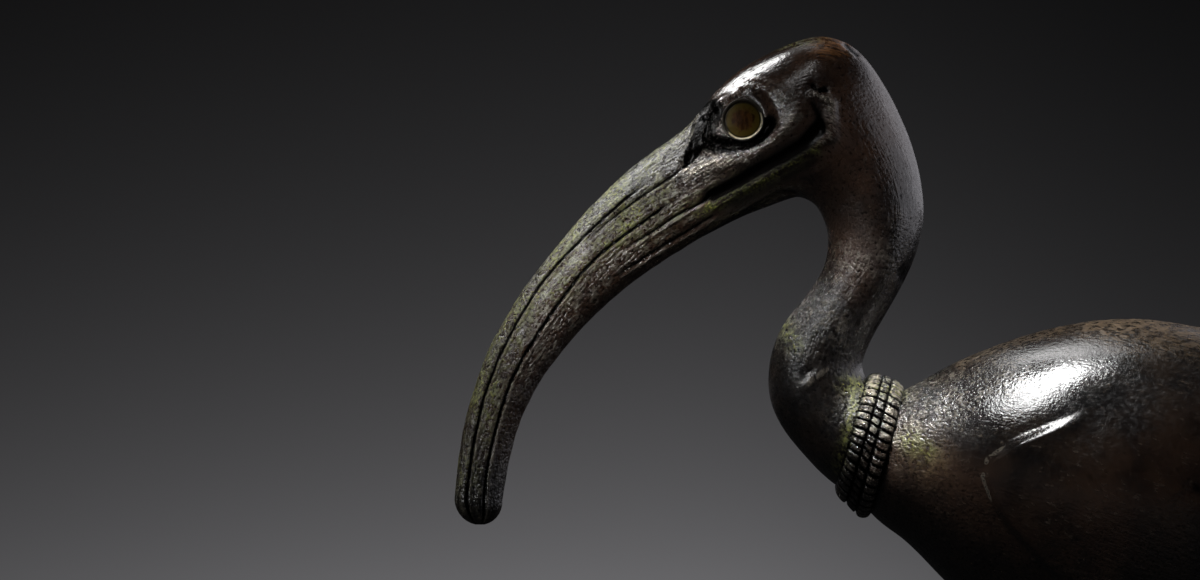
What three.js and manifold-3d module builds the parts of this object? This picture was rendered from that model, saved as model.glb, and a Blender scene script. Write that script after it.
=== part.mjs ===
// A striding sacred ibis, the bird of Thoth, in hollow cast bronze on a low base.
// The bird faces -X and its left side faces -Y. Millimetres, +Z up, origin under the middle of the base.

import * as THREE from 'three';
import { mergeVertices } from 'three/addons/utils/BufferGeometryUtils.js';
import Module from 'manifold-3d';

const wasm = await Module();
wasm.setup();

// Driving sizes, in millimetres
const figureHeight = 200; // from the soles of the feet to the crown of the head
const baseLength = 100;
const baseWidth = 54;
const baseThickness = 12;
const baseBevel = 0.8;
const eyeRingDiameter = 8.6;
const eyeRingBand = 0.7;
const eyeRingDepth = 1.8; // how far the gold ring goes into the head
const eyeRingRise = 0.25; // how far it stands out of the head
const eyeInlayRecess = 0.45; // from the rim of the ring down to the edge of the inlay
const eyeInlayDome = 0.35; // how much the middle of the inlay swells
const fitClearance = 0.3; // between the ring, the inlay and the pocket cut for them
const eyeLevelBand = 0.8; // level ground around the ring
const eyeSlope = 1.6; // width of the slopes from there up and down to the head
const eyeSink = 0.8; // how far that ground lies under the skin of the head
const mouthDepth = 0.5; // depth of the line between the two halves of the bill
const upperGrooveDepth = 0.35;
const grooveHalfWidth = 0.7;
const beadsAround = 44; // beads in each of the collar's three rows
const beadRise = 0.55;
const wingRise = 1.1; // how far the folded wings stand out of the body

// The figure is drawn on a grid of squares, twenty from its soles to its crown.
// Every place and size of the bird below is in squares, from the middle of the base and its top.
const squaresTall = 20;
const square = figureHeight / squaresTall;

// Stations along the bill, head and neck: the point on the back line (x, z),
// the point across from it on the front line (x, z), and the width from side to side.
const headStations = {
  billTip: [-14.70, 10.74, -13.76, 10.74, 0.80],
  lowBill: [-14.54, 12.08, -13.52, 11.94, 0.86],
  midBill: [-13.80, 14.20, -12.68, 13.56, 1.00],
  highBill: [-12.64, 15.84, -11.40, 14.90, 1.16],
  billBase: [-11.00, 17.52, -9.92, 15.88, 1.40],
  billRoot: [-9.94, 18.34, -9.00, 16.36, 1.60],
  forehead: [-9.56, 18.82, -8.52, 16.58, 1.84],
  brow: [-8.96, 19.36, -8.10, 16.74, 2.12],
  crownFront: [-8.16, 19.80, -7.84, 16.80, 2.40],
  crown: [-7.36, 20.00, -7.64, 16.74, 2.48],
  crownBack: [-6.78, 19.82, -7.52, 16.66, 2.44],
  napeTop: [-6.18, 19.14, -7.40, 16.50, 2.32],
  nape: [-5.64, 18.06, -7.28, 16.20, 2.16],
  throat: [-5.34, 16.80, -7.24, 15.86, 2.00],
  upperNeck: [-5.50, 15.62, -7.38, 15.28, 1.88],
  midNeck: [-6.04, 14.54, -7.92, 14.52, 1.84],
  lowNeck: [-6.46, 13.78, -8.36, 13.68, 1.84],
  crop: [-6.56, 13.42, -8.36, 12.64, 1.88],
  cropLow: [-6.50, 13.20, -7.68, 11.60, 2.00],
  collarFront: [-6.44, 13.12, -7.12, 11.06, 2.16],
  insideBreast: [-5.50, 12.60, -6.00, 11.00, 1.70],
};

// Stations along the body, from inside the neck to the tail
const bodyStations = {
  insideNeck: [-6.35, 12.70, -6.95, 11.40, 1.70],
  collarBack: [-5.68, 12.96, -6.38, 10.48, 2.36],
  breastTop: [-5.00, 13.34, -5.82, 10.02, 3.00],
  breast: [-3.80, 13.86, -4.96, 9.18, 4.10],
  shoulder: [-2.40, 14.26, -3.90, 8.20, 5.04],
  wing: [-0.80, 14.34, -2.60, 7.08, 5.80],
  middle: [1.00, 14.00, -0.94, 6.14, 6.16],
  flank: [2.80, 13.34, 1.00, 5.70, 6.00],
  rump: [4.60, 12.40, 3.00, 6.04, 5.30],
  rumpLow: [6.20, 11.38, 4.80, 6.74, 4.30],
  tailRoot: [7.40, 10.50, 6.30, 7.40, 3.50],
  tail: [8.40, 9.72, 7.70, 7.90, 2.95],
  tailEnd: [9.46, 8.84, 9.10, 8.20, 2.60],
};

// How finely each is cut: columns from the back line to the front line, and rings between stations
const headColumns = 14;
const headRingStretches = [
  { from: 0, to: 4, rings: 3 },
  { from: 4, to: 9, rings: 4 },
  { from: 9, to: 13, rings: 3 },
  { from: 13, to: 20, rings: 2 },
];
const headSideCrowding = 0.18; // the head's columns gather at the sides, where the carving is
const bodyColumns = 19;
const bodyRings = 2;
const bodyEgg = 0.1; // the body is widest above its middle
const bodyEggBegins = [1, 3]; // the egg shape comes in behind the collar, between these stations
const bodyEggEnds = [8, 11]; // and goes out along the tail

// Carved lines along the bill: station, and share of the way from the back line to the front line
const mouthLine = [[0, 0.61], [1.3, 0.60], [2.4, 0.57], [3.1, 0.52], [3.9, 0.56], [4.7, 0.57]];
const upperLine = [[0, 0.29], [1, 0.27], [2, 0.20], [3, 0.20], [4.1, 0.17]];
const mouthColumn = 8;
const upperColumn = 4;
const linesFade = [4.1, 5.2]; // the lines die out between these stations

// The face: the eye's place on the head, and the hollow, rim and lid around it
const eyeStation = 6.54;
const eyeShare = 0.31;
const eyeTurn = THREE.MathUtils.degToRad(8); // the eye looks a little forward
const eyeTilt = THREE.MathUtils.degToRad(10); // and a little up
const eyeFacets = 18;
const socket = { x: -9.02, z: 18.30, long: 1.2, high: 0.6, slope: 0.36, depth: 0.06, stretch: 1.3 };
const faceRidges = [
  { from: [-9.84, 18.32], to: [-10.24, 17.44], halfWidth: 0.09, rise: 0.06 },
  { from: [-9.84, 17.66], to: [-9.10, 17.72], halfWidth: 0.11, rise: 0.045 },
  { from: [-9.10, 17.72], to: [-8.00, 18.38], halfWidth: 0.12, rise: 0.045 },
];

// The collar: station along it, from its front plane to its back plane, as in the lists above
const collarStations = {
  frontEdge: [-6.48, 13.16, -7.10, 11.02, 2.24],
  frontRow: [-6.30, 13.21, -6.98, 10.82, 2.38],
  frontGroove: [-6.14, 13.16, -6.86, 10.70, 2.38],
  narrowRow: [-6.05, 13.13, -6.77, 10.60, 2.44],
  backGroove: [-5.96, 13.09, -6.68, 10.53, 2.44],
  backRow: [-5.83, 13.02, -6.52, 10.45, 2.50],
  backEdge: [-5.72, 12.92, -6.38, 10.48, 2.42],
};
const beadRows = { frontRow: 1, narrowRow: 0.7, backRow: 1 };
const pointsPerBead = 2;

// The folded wing on each side: station on the body, and the shares of its upper and lower edges
const wingStations = {
  wrist: [3.24, 0.485, 0.545],
  bend: [3.40, 0.44, 0.60],
  shoulder: [4.00, 0.345, 0.70],
  covert: [4.60, 0.25, 0.75],
  front: [5.50, 0.10, 0.79],
  middle: [6.50, 0.02, 0.80],
  back: [7.50, 0.01, 0.78],
  rump: [8.50, 0.015, 0.72],
  flight: [9.50, 0.05, 0.64],
  tips: [10.40, 0.16, 0.55],
  end: [11.10, 0.34, 0.46],
};
const wingFirstColumn = 6; // the crest of the upper edge; the body is one column above it
const wingLastColumn = 13; // the crest of the lower edge
const wingEdge = 0.13; // width of the wing's rounded edge
const wristRings = [3, 3.14, 3.24, 3.36, 3.55, 3.8]; // closer rings where the wing begins
const wingGather = [1.8, 3.14]; // between these stations the columns draw together to the wrist
const wingRelease = [11.1, 11.9]; // and here they spread again behind the wing tips
const wingUpperFade = { from: 4.1, gone: 5.3, back: 7, full: 9 }; // the upper edge sinks and rises again

// The legs: height, half length and half width of each section; both legs share them
const legSections = [
  [8.0, 1.45, 0.90],
  [6.6, 1.36, 0.88],
  [5.7, 1.04, 0.76],
  [5.0, 0.72, 0.58],
  [4.5, 0.46, 0.42],
  [4.2, 0.33, 0.32],
  [4.0, 0.36, 0.35],
  [3.75, 0.44, 0.41],
  [3.5, 0.38, 0.36],
  [3.2, 0.29, 0.28],
  [2.0, 0.26, 0.25],
  [0.8, 0.28, 0.27],
  [0.4, 0.36, 0.32],
  [0.0, 0.42, 0.36],
];
const hipHeight = 8.0;
const hockHeight = 3.75;
const legs = {
  left: { side: -1, hip: 0.5, hock: 0.25, foot: -0.85 },
  right: { side: 1, hip: 1.4, hock: 2.3, foot: 1.95 },
};
const legSpread = 1.02; // from the middle line to each leg
const pointsAroundLeg = 10;

// The toes: three in front and one behind on each foot
const toeSpread = THREE.MathUtils.degToRad(23);
const frontToeLength = 2.35;
const hindToeLength = 1.25;
const toeHalfWidth = 0.21;
const toeHeight = 0.3;
const toeJoints = 3;
const toeJointSwell = 0.12;
const toeTaper = 0.3; // share of its thickness that a toe loses before its claw
const clawBluntness = 0.06; // how blunt the claw ends, where 0 is a point
const toeRings = 7;
const toeArcPoints = 5;

// Tips are closed by shrinking rings, over these lengths
const billTipLength = 0.5;
const billTipDirection = new THREE.Vector3(0.06, 0, -1);
const tailTipLength = 0.3;
const tailTipDirection = new THREE.Vector3(0.9, 0, -0.44);
const tipRings = 2;

const bronze = new THREE.MeshStandardMaterial({ color: 0x2e2a26, roughness: 0.38, metalness: 0.85 });
const baseBronze = new THREE.MeshStandardMaterial({ color: 0x2a2723, roughness: 0.5, metalness: 0.8 });
const gold = new THREE.MeshStandardMaterial({ color: 0xc79a3c, roughness: 0.35, metalness: 1 });
const eyeGlass = new THREE.MeshStandardMaterial({ color: 0x5a4720, roughness: 0.2, metalness: 0 });

// Second derivatives of the natural cubic spline through each column of rows, at the knots
function splineBends(knots, rows) {
  const last = knots.length - 1;
  const bends = rows.map((row) => row.map(() => 0));
  const diagonal = knots.map(() => 1);
  const steps = knots.slice(1).map((knot, i) => knot - knots[i]);
  for (let i = 1; i < last; i++) {
    const carry = i > 1 ? steps[i - 1] / diagonal[i - 1] : 0;
    diagonal[i] = 2 * (steps[i - 1] + steps[i]) - carry * (i > 1 ? steps[i - 1] : 0);
    bends[i] = rows[i].map((value, column) => {
      const rise = (rows[i + 1][column] - value) / steps[i];
      const before = (value - rows[i - 1][column]) / steps[i - 1];
      return 6 * (rise - before) - carry * bends[i - 1][column];
    });
  }
  for (let i = last - 1; i > 0; i--) {
    bends[i] = bends[i].map((value, column) => (value - steps[i] * bends[i + 1][column]) / diagonal[i]);
  }
  return bends;
}

// The mean distance between two stations, along the back line, the front line and the middle
function stationSpacing([backX, backZ, frontX, frontZ], [nextBackX, nextBackZ, nextFrontX, nextFrontZ]) {
  const alongBack = Math.hypot(nextBackX - backX, nextBackZ - backZ);
  const alongFront = Math.hypot(nextFrontX - frontX, nextFrontZ - frontZ);
  const middleX = (nextBackX + nextFrontX - backX - frontX) / 2;
  const middleZ = (nextBackZ + nextFrontZ - backZ - frontZ) / 2;
  return (alongBack + alongFront + Math.hypot(middleX, middleZ)) / 3;
}

// A spline through a list of stations, whose knots come from the distances between them
function stationSpline(stations, spacing = stationSpacing) {
  const rows = Object.values(stations);
  const knots = [0];
  for (let i = 1; i < rows.length; i++) knots.push(knots[i - 1] + spacing(rows[i - 1], rows[i]));
  return { rows, knots, bends: splineBends(knots, rows) };
}

// The spline's values at a station number, which may fall between two stations
function splineAt({ rows, knots, bends }, station) {
  const i = Math.min(Math.floor(station), rows.length - 2);
  const b = station - i;
  const a = 1 - b;
  const step = knots[i + 1] - knots[i];
  return rows[i].map((value, column) => {
    const straight = a * value + b * rows[i + 1][column];
    const bend = (a ** 3 - a) * bends[i][column] + (b ** 3 - b) * bends[i + 1][column];
    return straight + (bend * step * step) / 6;
  });
}

const headSpline = stationSpline(headStations);
const bodySpline = stationSpline(bodyStations);
const wingSpline = stationSpline(wingStations, ([here], [next]) => next - here);

// The upper and lower edge of the wing at a station of the body
function wingEdges(station) {
  const { rows, knots } = wingSpline;
  const from = THREE.MathUtils.clamp(station - rows[0][0], 0, knots.at(-1));
  const i = Math.min(knots.findLastIndex((knot) => knot <= from), knots.length - 2);
  const [, upper, lower] = splineAt(wingSpline, i + (from - knots[i]) / (knots[i + 1] - knots[i]));
  return { upper, lower };
}

// Linear interpolation in a list of pairs
function along(line, at) {
  const next = line.findIndex(([where]) => where >= at);
  if (next < 1) return line[next < 0 ? line.length - 1 : 0][1];
  const [[x0, y0], [x1, y1]] = [line[next - 1], line[next]];
  return THREE.MathUtils.mapLinear(at, x0, x1, y0, y1);
}

// A point of the skin: the section stands between the back and front points and swells sideways.
// The angle is 0 at the back and a half turn at the front; rise moves the point outwards.
function sectionPoint([backX, backZ, frontX, frontZ, width], angle, egg = 0, rise = 0) {
  const middle = new THREE.Vector3((backX + frontX) / 2, 0, (backZ + frontZ) / 2);
  const up = new THREE.Vector3((backX - frontX) / 2, 0, (backZ - frontZ) / 2);
  const halfHeight = up.length();
  up.normalize();
  const [cos, sin] = [Math.cos(angle), Math.sin(angle)];
  const outward = up.clone().multiplyScalar(cos / halfHeight);
  outward.y = sin / (width / 2);
  outward.normalize();
  const point = middle.addScaledVector(up, halfHeight * cos);
  point.y = (width / 2) * sin * (1 + egg * cos);
  return point.addScaledVector(outward, rise);
}

// The angle of a section at which a share of the way from back to front is reached
const angleOfShare = (share) => Math.acos(THREE.MathUtils.clamp(1 - 2 * share, -1, 1));

// A bump or groove that fades with distance
const soft = (distance, halfWidth) => Math.exp(-((distance / halfWidth) ** 2));

// How strongly the bill's carved lines show at a station
const lineStrength = (station) => 1 - THREE.MathUtils.smoothstep(station, ...linesFade);

// How strongly the wing's columns follow its edges at a station of the body
function wingPull(station) {
  const gathered = THREE.MathUtils.smoothstep(station, ...wingGather);
  return gathered * (1 - THREE.MathUtils.smoothstep(station, ...wingRelease));
}

// Distance in the side view from a point to the stretch between two others
function distanceToStretch({ x, z }, [fromX, fromZ], [toX, toZ]) {
  const [dx, dz] = [toX - fromX, toZ - fromZ];
  const share = THREE.MathUtils.clamp(((x - fromX) * dx + (z - fromZ) * dz) / (dx * dx + dz * dz), 0, 1);
  return Math.hypot(x - fromX - share * dx, z - fromZ - share * dz);
}

// The hollow of the eye and the raised rims around it, in squares
function faceRelief(point) {
  const [cos, sin] = [Math.cos(socket.slope), Math.sin(socket.slope)];
  const [dx, dz] = [point.x - socket.x, point.z - socket.z];
  const inSocket = Math.hypot((dx * cos + dz * sin) / socket.long, (dz * cos - dx * sin) / socket.high);
  return faceRidges.reduce(
    (sum, ridge) => sum + ridge.rise * soft(distanceToStretch(point, ridge.from, ridge.to), ridge.halfWidth),
    -socket.depth * soft(inSocket, 1),
  );
}

// The eye's middle on the head, and the direction it looks in, on the given side
const eyeRung = splineAt(headSpline, eyeStation);
const eyeMiddle = sectionPoint(eyeRung, angleOfShare(eyeShare), 0, -eyeSink / square);

function eyePlace(side) {
  return new THREE.Vector3(eyeMiddle.x, side * eyeMiddle.y, eyeMiddle.z);
}

function eyeRotation(side) {
  return new THREE.Euler(side * eyeTilt, 0, side * eyeTurn);
}

// The bird's own place in the model: squares to millimetres, with the soles on the base
const place = ({ x, y, z }) => new THREE.Vector3(x * square, y * square, baseThickness + z * square);

// Angles of the columns from the back line to the front line: free steps, except that the columns
// named by the pins are drawn to their own angles, and those between them share the room
function columnAngles(columns, crowding, pins, pull) {
  const turn = (column) => (Math.PI * column) / columns;
  const free = (column) => turn(column) + crowding * Math.sin(2 * turn(column));
  const pinned = [{ column: 0, angle: 0 }, ...pins, { column: columns, angle: Math.PI }];
  return Array.from({ length: columns + 1 }, (unused, column) => {
    const next = Math.max(1, pinned.findIndex((pin) => pin.column >= column));
    const [low, high] = [pinned[next - 1], pinned[next]];
    const drawn = THREE.MathUtils.mapLinear(column, low.column, high.column, low.angle, high.angle);
    return THREE.MathUtils.lerp(free(column), drawn, pull);
  });
}

// Three columns for a groove: its bottom and its two brinks
function groovePins(column, line, station, height) {
  const middle = angleOfShare(along(line, station));
  const brink = (2 * grooveHalfWidth) / square / height;
  return [-1, 0, 1].map((step) => ({ column: column + step, angle: middle + step * brink }));
}

// A whole ring from one side's points: the other side is its mirror image
function bothSides(points) {
  const mirrored = points.slice(1, -1).reverse();
  return [...points, ...mirrored.map(({ x, y, z }) => new THREE.Vector3(x, -y, z))];
}

// Station numbers from first to last, with so many rings in each stretch
function stationNumbers(first, last, rings) {
  return Array.from({ length: (last - first) * rings }, (unused, i) => first + i / rings);
}

// Rings that shrink to a rounded tip beyond the last ring of a sweep
function tipOf(ring, direction, length) {
  const middle = ring.reduce((sum, point) => sum.add(point), new THREE.Vector3()).divideScalar(ring.length);
  return Array.from({ length: tipRings }, (unused, i) => {
    const turn = ((i + 1) / (tipRings + 1)) * (Math.PI / 2);
    const moved = middle.clone().addScaledVector(direction, length * Math.sin(turn));
    return ring.map((point) => point.clone().sub(middle).multiplyScalar(Math.cos(turn)).add(moved));
  });
}

// A closed skin over rings of points, each joined to the next; a fan closes each end
function skin(rings) {
  const around = rings[0].length;
  const middles = [rings[0], rings.at(-1)].map((ring) =>
    ring.reduce((sum, point) => sum.add(point), new THREE.Vector3()).divideScalar(around));
  const points = [...rings.flat(), ...middles];
  const [firstPole, lastPole] = [points.length - 2, points.length - 1];
  const faces = [];
  for (let j = 0; j < around; j++) {
    const next = (j + 1) % around;
    faces.push(firstPole, next, j);
    for (let i = 0; i < rings.length - 1; i++) {
      const [here, there] = [i * around, (i + 1) * around];
      faces.push(here + j, here + next, there + next, here + j, there + next, there + j);
    }
    const end = (rings.length - 1) * around;
    faces.push(lastPole, end + j, end + next);
  }
  const geometry = new THREE.BufferGeometry();
  geometry.setAttribute('position', new THREE.Float32BufferAttribute(points.flatMap((p) => p.toArray()), 3));
  geometry.setIndex(faces);
  return geometry;
}

// A closed mesh as a solid to join or cut, turned the right way out
function solid(geometry) {
  const bare = geometry.clone();
  bare.deleteAttribute('normal');
  bare.deleteAttribute('uv');
  const merged = mergeVertices(bare, 1e-5);
  const triVerts = Uint32Array.from(merged.index.array);
  const vertProperties = Float32Array.from(merged.attributes.position.array);
  if (signedVolume(vertProperties, triVerts) < 0) {
    for (let i = 0; i < triVerts.length; i += 3) {
      [triVerts[i + 1], triVerts[i + 2]] = [triVerts[i + 2], triVerts[i + 1]];
    }
  }
  return new wasm.Manifold(new wasm.Mesh({ numProp: 3, vertProperties, triVerts }));
}

// Positive when the faces point outwards
function signedVolume(positions, faces) {
  const corner = (i) => new THREE.Vector3().fromArray(positions, 3 * faces[i]);
  let sum = 0;
  for (let i = 0; i < faces.length; i += 3) {
    sum += corner(i).dot(corner(i + 1).cross(corner(i + 2)));
  }
  return sum / 6;
}

function geometryOf(manifold) {
  const mesh = manifold.getMesh();
  const geometry = new THREE.BufferGeometry();
  geometry.setAttribute('position', new THREE.BufferAttribute(mesh.vertProperties, 3));
  geometry.setIndex(new THREE.BufferAttribute(mesh.triVerts, 1));
  return geometry;
}

// Bill, head and neck, from the tip of the bill to the root of the neck inside the breast
function headSkin() {
  const numbers = headRingStretches.flatMap(({ from, to, rings }) => stationNumbers(from, to, rings));
  const rings = [...numbers, headSpline.rows.length - 1].map(headRing);
  const tip = tipOf(rings[0], billTipDirection, billTipLength);
  return skin([...tip.reverse(), ...rings].map((ring) => ring.map(place)));
}

// The body, from inside the neck to the tip of the tail
function bodySkin() {
  const last = bodySpline.rows.length - 1;
  const numbers = [
    ...stationNumbers(0, Math.floor(wristRings[0]), bodyRings),
    ...wristRings,
    ...stationNumbers(Math.ceil(wristRings.at(-1)), last, bodyRings),
    last,
  ];
  const rings = numbers.map(bodyRing);
  const tip = tipOf(rings.at(-1), tailTipDirection, tailTipLength);
  return skin([...rings, ...tip].map((ring) => ring.map(place)));
}

// One ring of the bill, head or neck, with the bill's lines cut in and the face carved
function headRing(station) {
  const rung = splineAt(headSpline, station);
  const height = Math.hypot(rung[0] - rung[2], rung[1] - rung[3]);
  const strength = lineStrength(station);
  const pins = [
    ...groovePins(upperColumn, upperLine, station, height),
    ...groovePins(mouthColumn, mouthLine, station, height),
  ];
  const depths = { [upperColumn]: upperGrooveDepth, [mouthColumn]: mouthDepth };
  const angles = columnAngles(headColumns, headSideCrowding, pins, strength);
  return bothSides(angles.map((angle, column) => {
    const cut = (strength * (depths[column] ?? 0)) / square;
    const rise = faceRelief(sectionPoint(rung, angle)) - cut;
    return sectionPoint(rung, angle, 0, rise);
  }));
}

// The egg shape of the body at a station
function eggAt(station) {
  const begun = THREE.MathUtils.smoothstep(station, ...bodyEggBegins);
  return bodyEgg * begun * (1 - THREE.MathUtils.smoothstep(station, ...bodyEggEnds));
}

// How far a column of the wing stands out of the body, in squares
function wingRiseAt(station, column) {
  const [first, last] = [wingSpline.rows[0][0], wingSpline.rows.at(-1)[0]];
  if (column < wingFirstColumn || column > wingLastColumn || station < first || station > last) return 0;
  const { from, gone, back, full } = wingUpperFade;
  const sunk = THREE.MathUtils.smoothstep(station, from, gone) - THREE.MathUtils.smoothstep(station, back, full);
  const inside = THREE.MathUtils.smoothstep(column, wingFirstColumn, wingFirstColumn + 3);
  return (wingRise / square) * (1 - sunk * (1 - inside));
}

// One ring of the body, whose columns follow the edges of the folded wing
function bodyRing(station) {
  const rung = splineAt(bodySpline, station);
  const { upper, lower } = wingEdges(station);
  const edge = wingEdge / rung[4];
  const [top, bottom] = [angleOfShare(upper), angleOfShare(lower)];
  const pins = [
    { column: wingFirstColumn - 1, angle: top - edge },
    { column: wingFirstColumn, angle: top + edge },
    { column: wingLastColumn, angle: bottom - edge },
    { column: wingLastColumn + 1, angle: bottom + edge },
  ];
  const angles = columnAngles(bodyColumns, 0, pins, wingPull(station));
  return bothSides(angles.map((angle, column) =>
    sectionPoint(rung, angle, eggAt(station), wingRiseAt(station, column))));
}

// The broad beaded collar at the root of the neck
function collar() {
  const around = beadsAround * pointsPerBead;
  const rings = Object.entries(collarStations).map(([name, rung]) =>
    Array.from({ length: around }, (unused, i) => {
      const onBead = i % pointsPerBead === 0 ? 1 : 0;
      const rise = ((beadRows[name] ?? 0) * beadRise * onBead) / square;
      return place(sectionPoint(rung, (2 * Math.PI * i) / around, 0, rise));
    }));
  return skin(rings);
}

// One leg, in level sections from the hip inside the body down to the sole
function leg({ side, hip, hock, foot }) {
  const rings = legSections.map(([height, halfLength, halfWidth]) => {
    const x = height > hockHeight
      ? THREE.MathUtils.mapLinear(height, hipHeight, hockHeight, hip, hock)
      : THREE.MathUtils.mapLinear(height, hockHeight, 0, hock, foot);
    return Array.from({ length: pointsAroundLeg }, (unused, i) => {
      const angle = (2 * Math.PI * i) / pointsAroundLeg;
      return place({
        x: x + halfLength * Math.cos(angle),
        y: side * legSpread + halfWidth * Math.sin(angle),
        z: height,
      });
    });
  });
  return skin(rings);
}

// One toe: a half-round bar with joints, flat below and ending in a claw
function toe({ side, foot }, turn, length, forward) {
  const rings = Array.from({ length: toeRings }, (unused, i) => {
    const share = i / (toeRings - 1);
    const joint = 1 + toeJointSwell * Math.cos(2 * Math.PI * toeJoints * share);
    const closing = Math.sqrt(1 - (1 - clawBluntness) * share ** 3);
    const taper = closing * (1 - toeTaper * share) * joint;
    const reach = share * length;
    const [cos, sin] = [Math.cos(turn), Math.sin(turn)];
    return Array.from({ length: toeArcPoints }, (none, j) => {
      const across = (Math.PI * j) / (toeArcPoints - 1);
      const wide = toeHalfWidth * taper * Math.cos(across);
      return place({
        x: foot + forward * (reach * cos - wide * sin),
        y: side * legSpread + reach * sin + wide * cos,
        z: toeHeight * taper * Math.sin(across),
      });
    });
  });
  return skin(rings);
}

function toes(leg) {
  const front = [-1, 0, 1].map((spread) => toe(leg, spread * toeSpread, frontToeLength, -1));
  return [...front, toe(leg, 0, hindToeLength, 1)];
}

// Around the eye the head is level: a low mound fills what falls away, and a dish clears what stands up
function eyeMound(side) {
  const level = eyeRingDiameter / 2 + eyeLevelBand;
  const foot = level + eyeSlope;
  const spare = eyeSlope / 10; // the dish takes this off again
  return eyeTurning([[0, -2 * eyeRingDepth], [foot, -2 * eyeRingDepth], [foot, -eyeSlope],
    [level, spare], [0, spare]], side);
}

function eyeDish(side) {
  const level = eyeRingDiameter / 2 + eyeLevelBand;
  const brim = level + 2 * eyeSlope;
  const profile = [[0, 0], [level, 0], [brim, eyeSlope], [brim, eyeRingDiameter], [0, eyeRingDiameter]];
  const almond = turned(profile, side).scale(socket.stretch, 1, 1).rotateY(-socket.slope);
  return almond.applyMatrix4(eyeMatrix(side));
}

// The pocket for a gold ring and its inlay
function eyePocket(side) {
  const radius = eyeRingDiameter / 2 + fitClearance;
  const depth = eyeRingDepth + fitClearance;
  return eyeTurning([[0, -depth], [radius, -depth], [radius, eyeRingDepth], [0, eyeRingDepth]], side);
}

// A solid turned about the eye's axis, set in its place on the head
function eyeTurning(profile, side) {
  return turned(profile, side).applyMatrix4(eyeMatrix(side));
}

function eyeMatrix(side) {
  const turned = new THREE.Matrix4().makeRotationFromEuler(eyeRotation(side));
  return turned.setPosition(place(eyePlace(side)));
}

// The gold ring, turned about its own axis, which points out of the head
function eyeRing(side) {
  const outer = eyeRingDiameter / 2;
  const inner = outer - eyeRingBand;
  const lip = eyeRingBand / 3;
  const profile = [
    [inner, -eyeRingDepth], [outer, -eyeRingDepth], [outer, eyeRingRise - lip],
    [outer - lip, eyeRingRise], [inner, eyeRingRise], [inner, -eyeRingDepth],
  ];
  return turned(profile, side);
}

// The inlay: a low dome of dark amber glass, sunk inside the ring
function eyeInlay(side) {
  const radius = eyeRingDiameter / 2 - eyeRingBand - fitClearance;
  const edge = eyeRingRise - eyeInlayRecess;
  const domeSteps = 3;
  const dome = Array.from({ length: domeSteps }, (unused, i) => {
    const share = 1 - i / (domeSteps - 1);
    return [radius * share, edge + eyeInlayDome * (1 - share * share)];
  });
  return turned([[0, -eyeRingDepth], [radius, -eyeRingDepth], ...dome], side);
}

// A lathed piece whose profile gives radius and height out of the head
function turned(profile, side) {
  const points = profile.map(([radius, out]) => new THREE.Vector2(radius, side * out));
  const geometry = new THREE.LatheGeometry(points, eyeFacets);
  return geometryOf(solid(geometry));
}

function bird() {
  const joined = [bodySkin(), collar()];
  for (const each of Object.values(legs)) joined.push(leg(each), ...toes(each));
  const head = [-1, 1].reduce((sum, side) => sum
    .add(solid(eyeMound(side)))
    .subtract(solid(eyeDish(side)))
    .subtract(solid(eyePocket(side))), solid(headSkin()));
  return joined.reduce((sum, piece) => sum.add(solid(piece)), head);
}

// The low base: a plain slab with its edges taken off
function lowBase() {
  const [halfLength, halfWidth] = [baseLength / 2 - baseBevel, baseWidth / 2 - baseBevel];
  const plan = new THREE.Shape([
    new THREE.Vector2(-halfLength, -halfWidth),
    new THREE.Vector2(halfLength, -halfWidth),
    new THREE.Vector2(halfLength, halfWidth),
    new THREE.Vector2(-halfLength, halfWidth),
  ]);
  const slab = new THREE.ExtrudeGeometry(plan, {
    depth: baseThickness - 2 * baseBevel,
    bevelThickness: baseBevel,
    bevelSize: baseBevel,
    bevelSegments: 2,
  });
  slab.translate(0, 0, baseBevel);
  return slab;
}

function named(name, geometry, material) {
  const mesh = new THREE.Mesh(geometry, material);
  mesh.name = name;
  return mesh;
}

const thothIbis = new THREE.Group();
thothIbis.add(named('low_base', lowBase(), baseBronze));
thothIbis.add(named('ibis', geometryOf(bird()), bronze));
for (const [name, side] of [['left', -1], ['right', 1]]) {
  const eye = new THREE.Group();
  eye.position.copy(place(eyePlace(side)));
  eye.rotation.copy(eyeRotation(side));
  eye.add(named(`${name}_eye_ring`, eyeRing(side), gold));
  eye.add(named(`${name}_eye_inlay`, eyeInlay(side), eyeGlass));
  thothIbis.add(eye);
}

export default thothIbis;
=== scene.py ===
# %% [markdown]
# # A striding ibis in patinated bronze
# The real object is an Egyptian bronze of the ibis, the bird of Thoth: one hollow casting on a low base,
# with two gold rings set into the head and an amber-brown inlay in each. This lesson builds its looks
# around a imported model that already holds the sizes. Every shape below is a surface worked out with numpy,
# a function of two numbers, computed as whole arrays.
# First the imported model comes in. Its pieces' boxes are kept, for the sizes that they hold.

# %% The frame
import math

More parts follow.
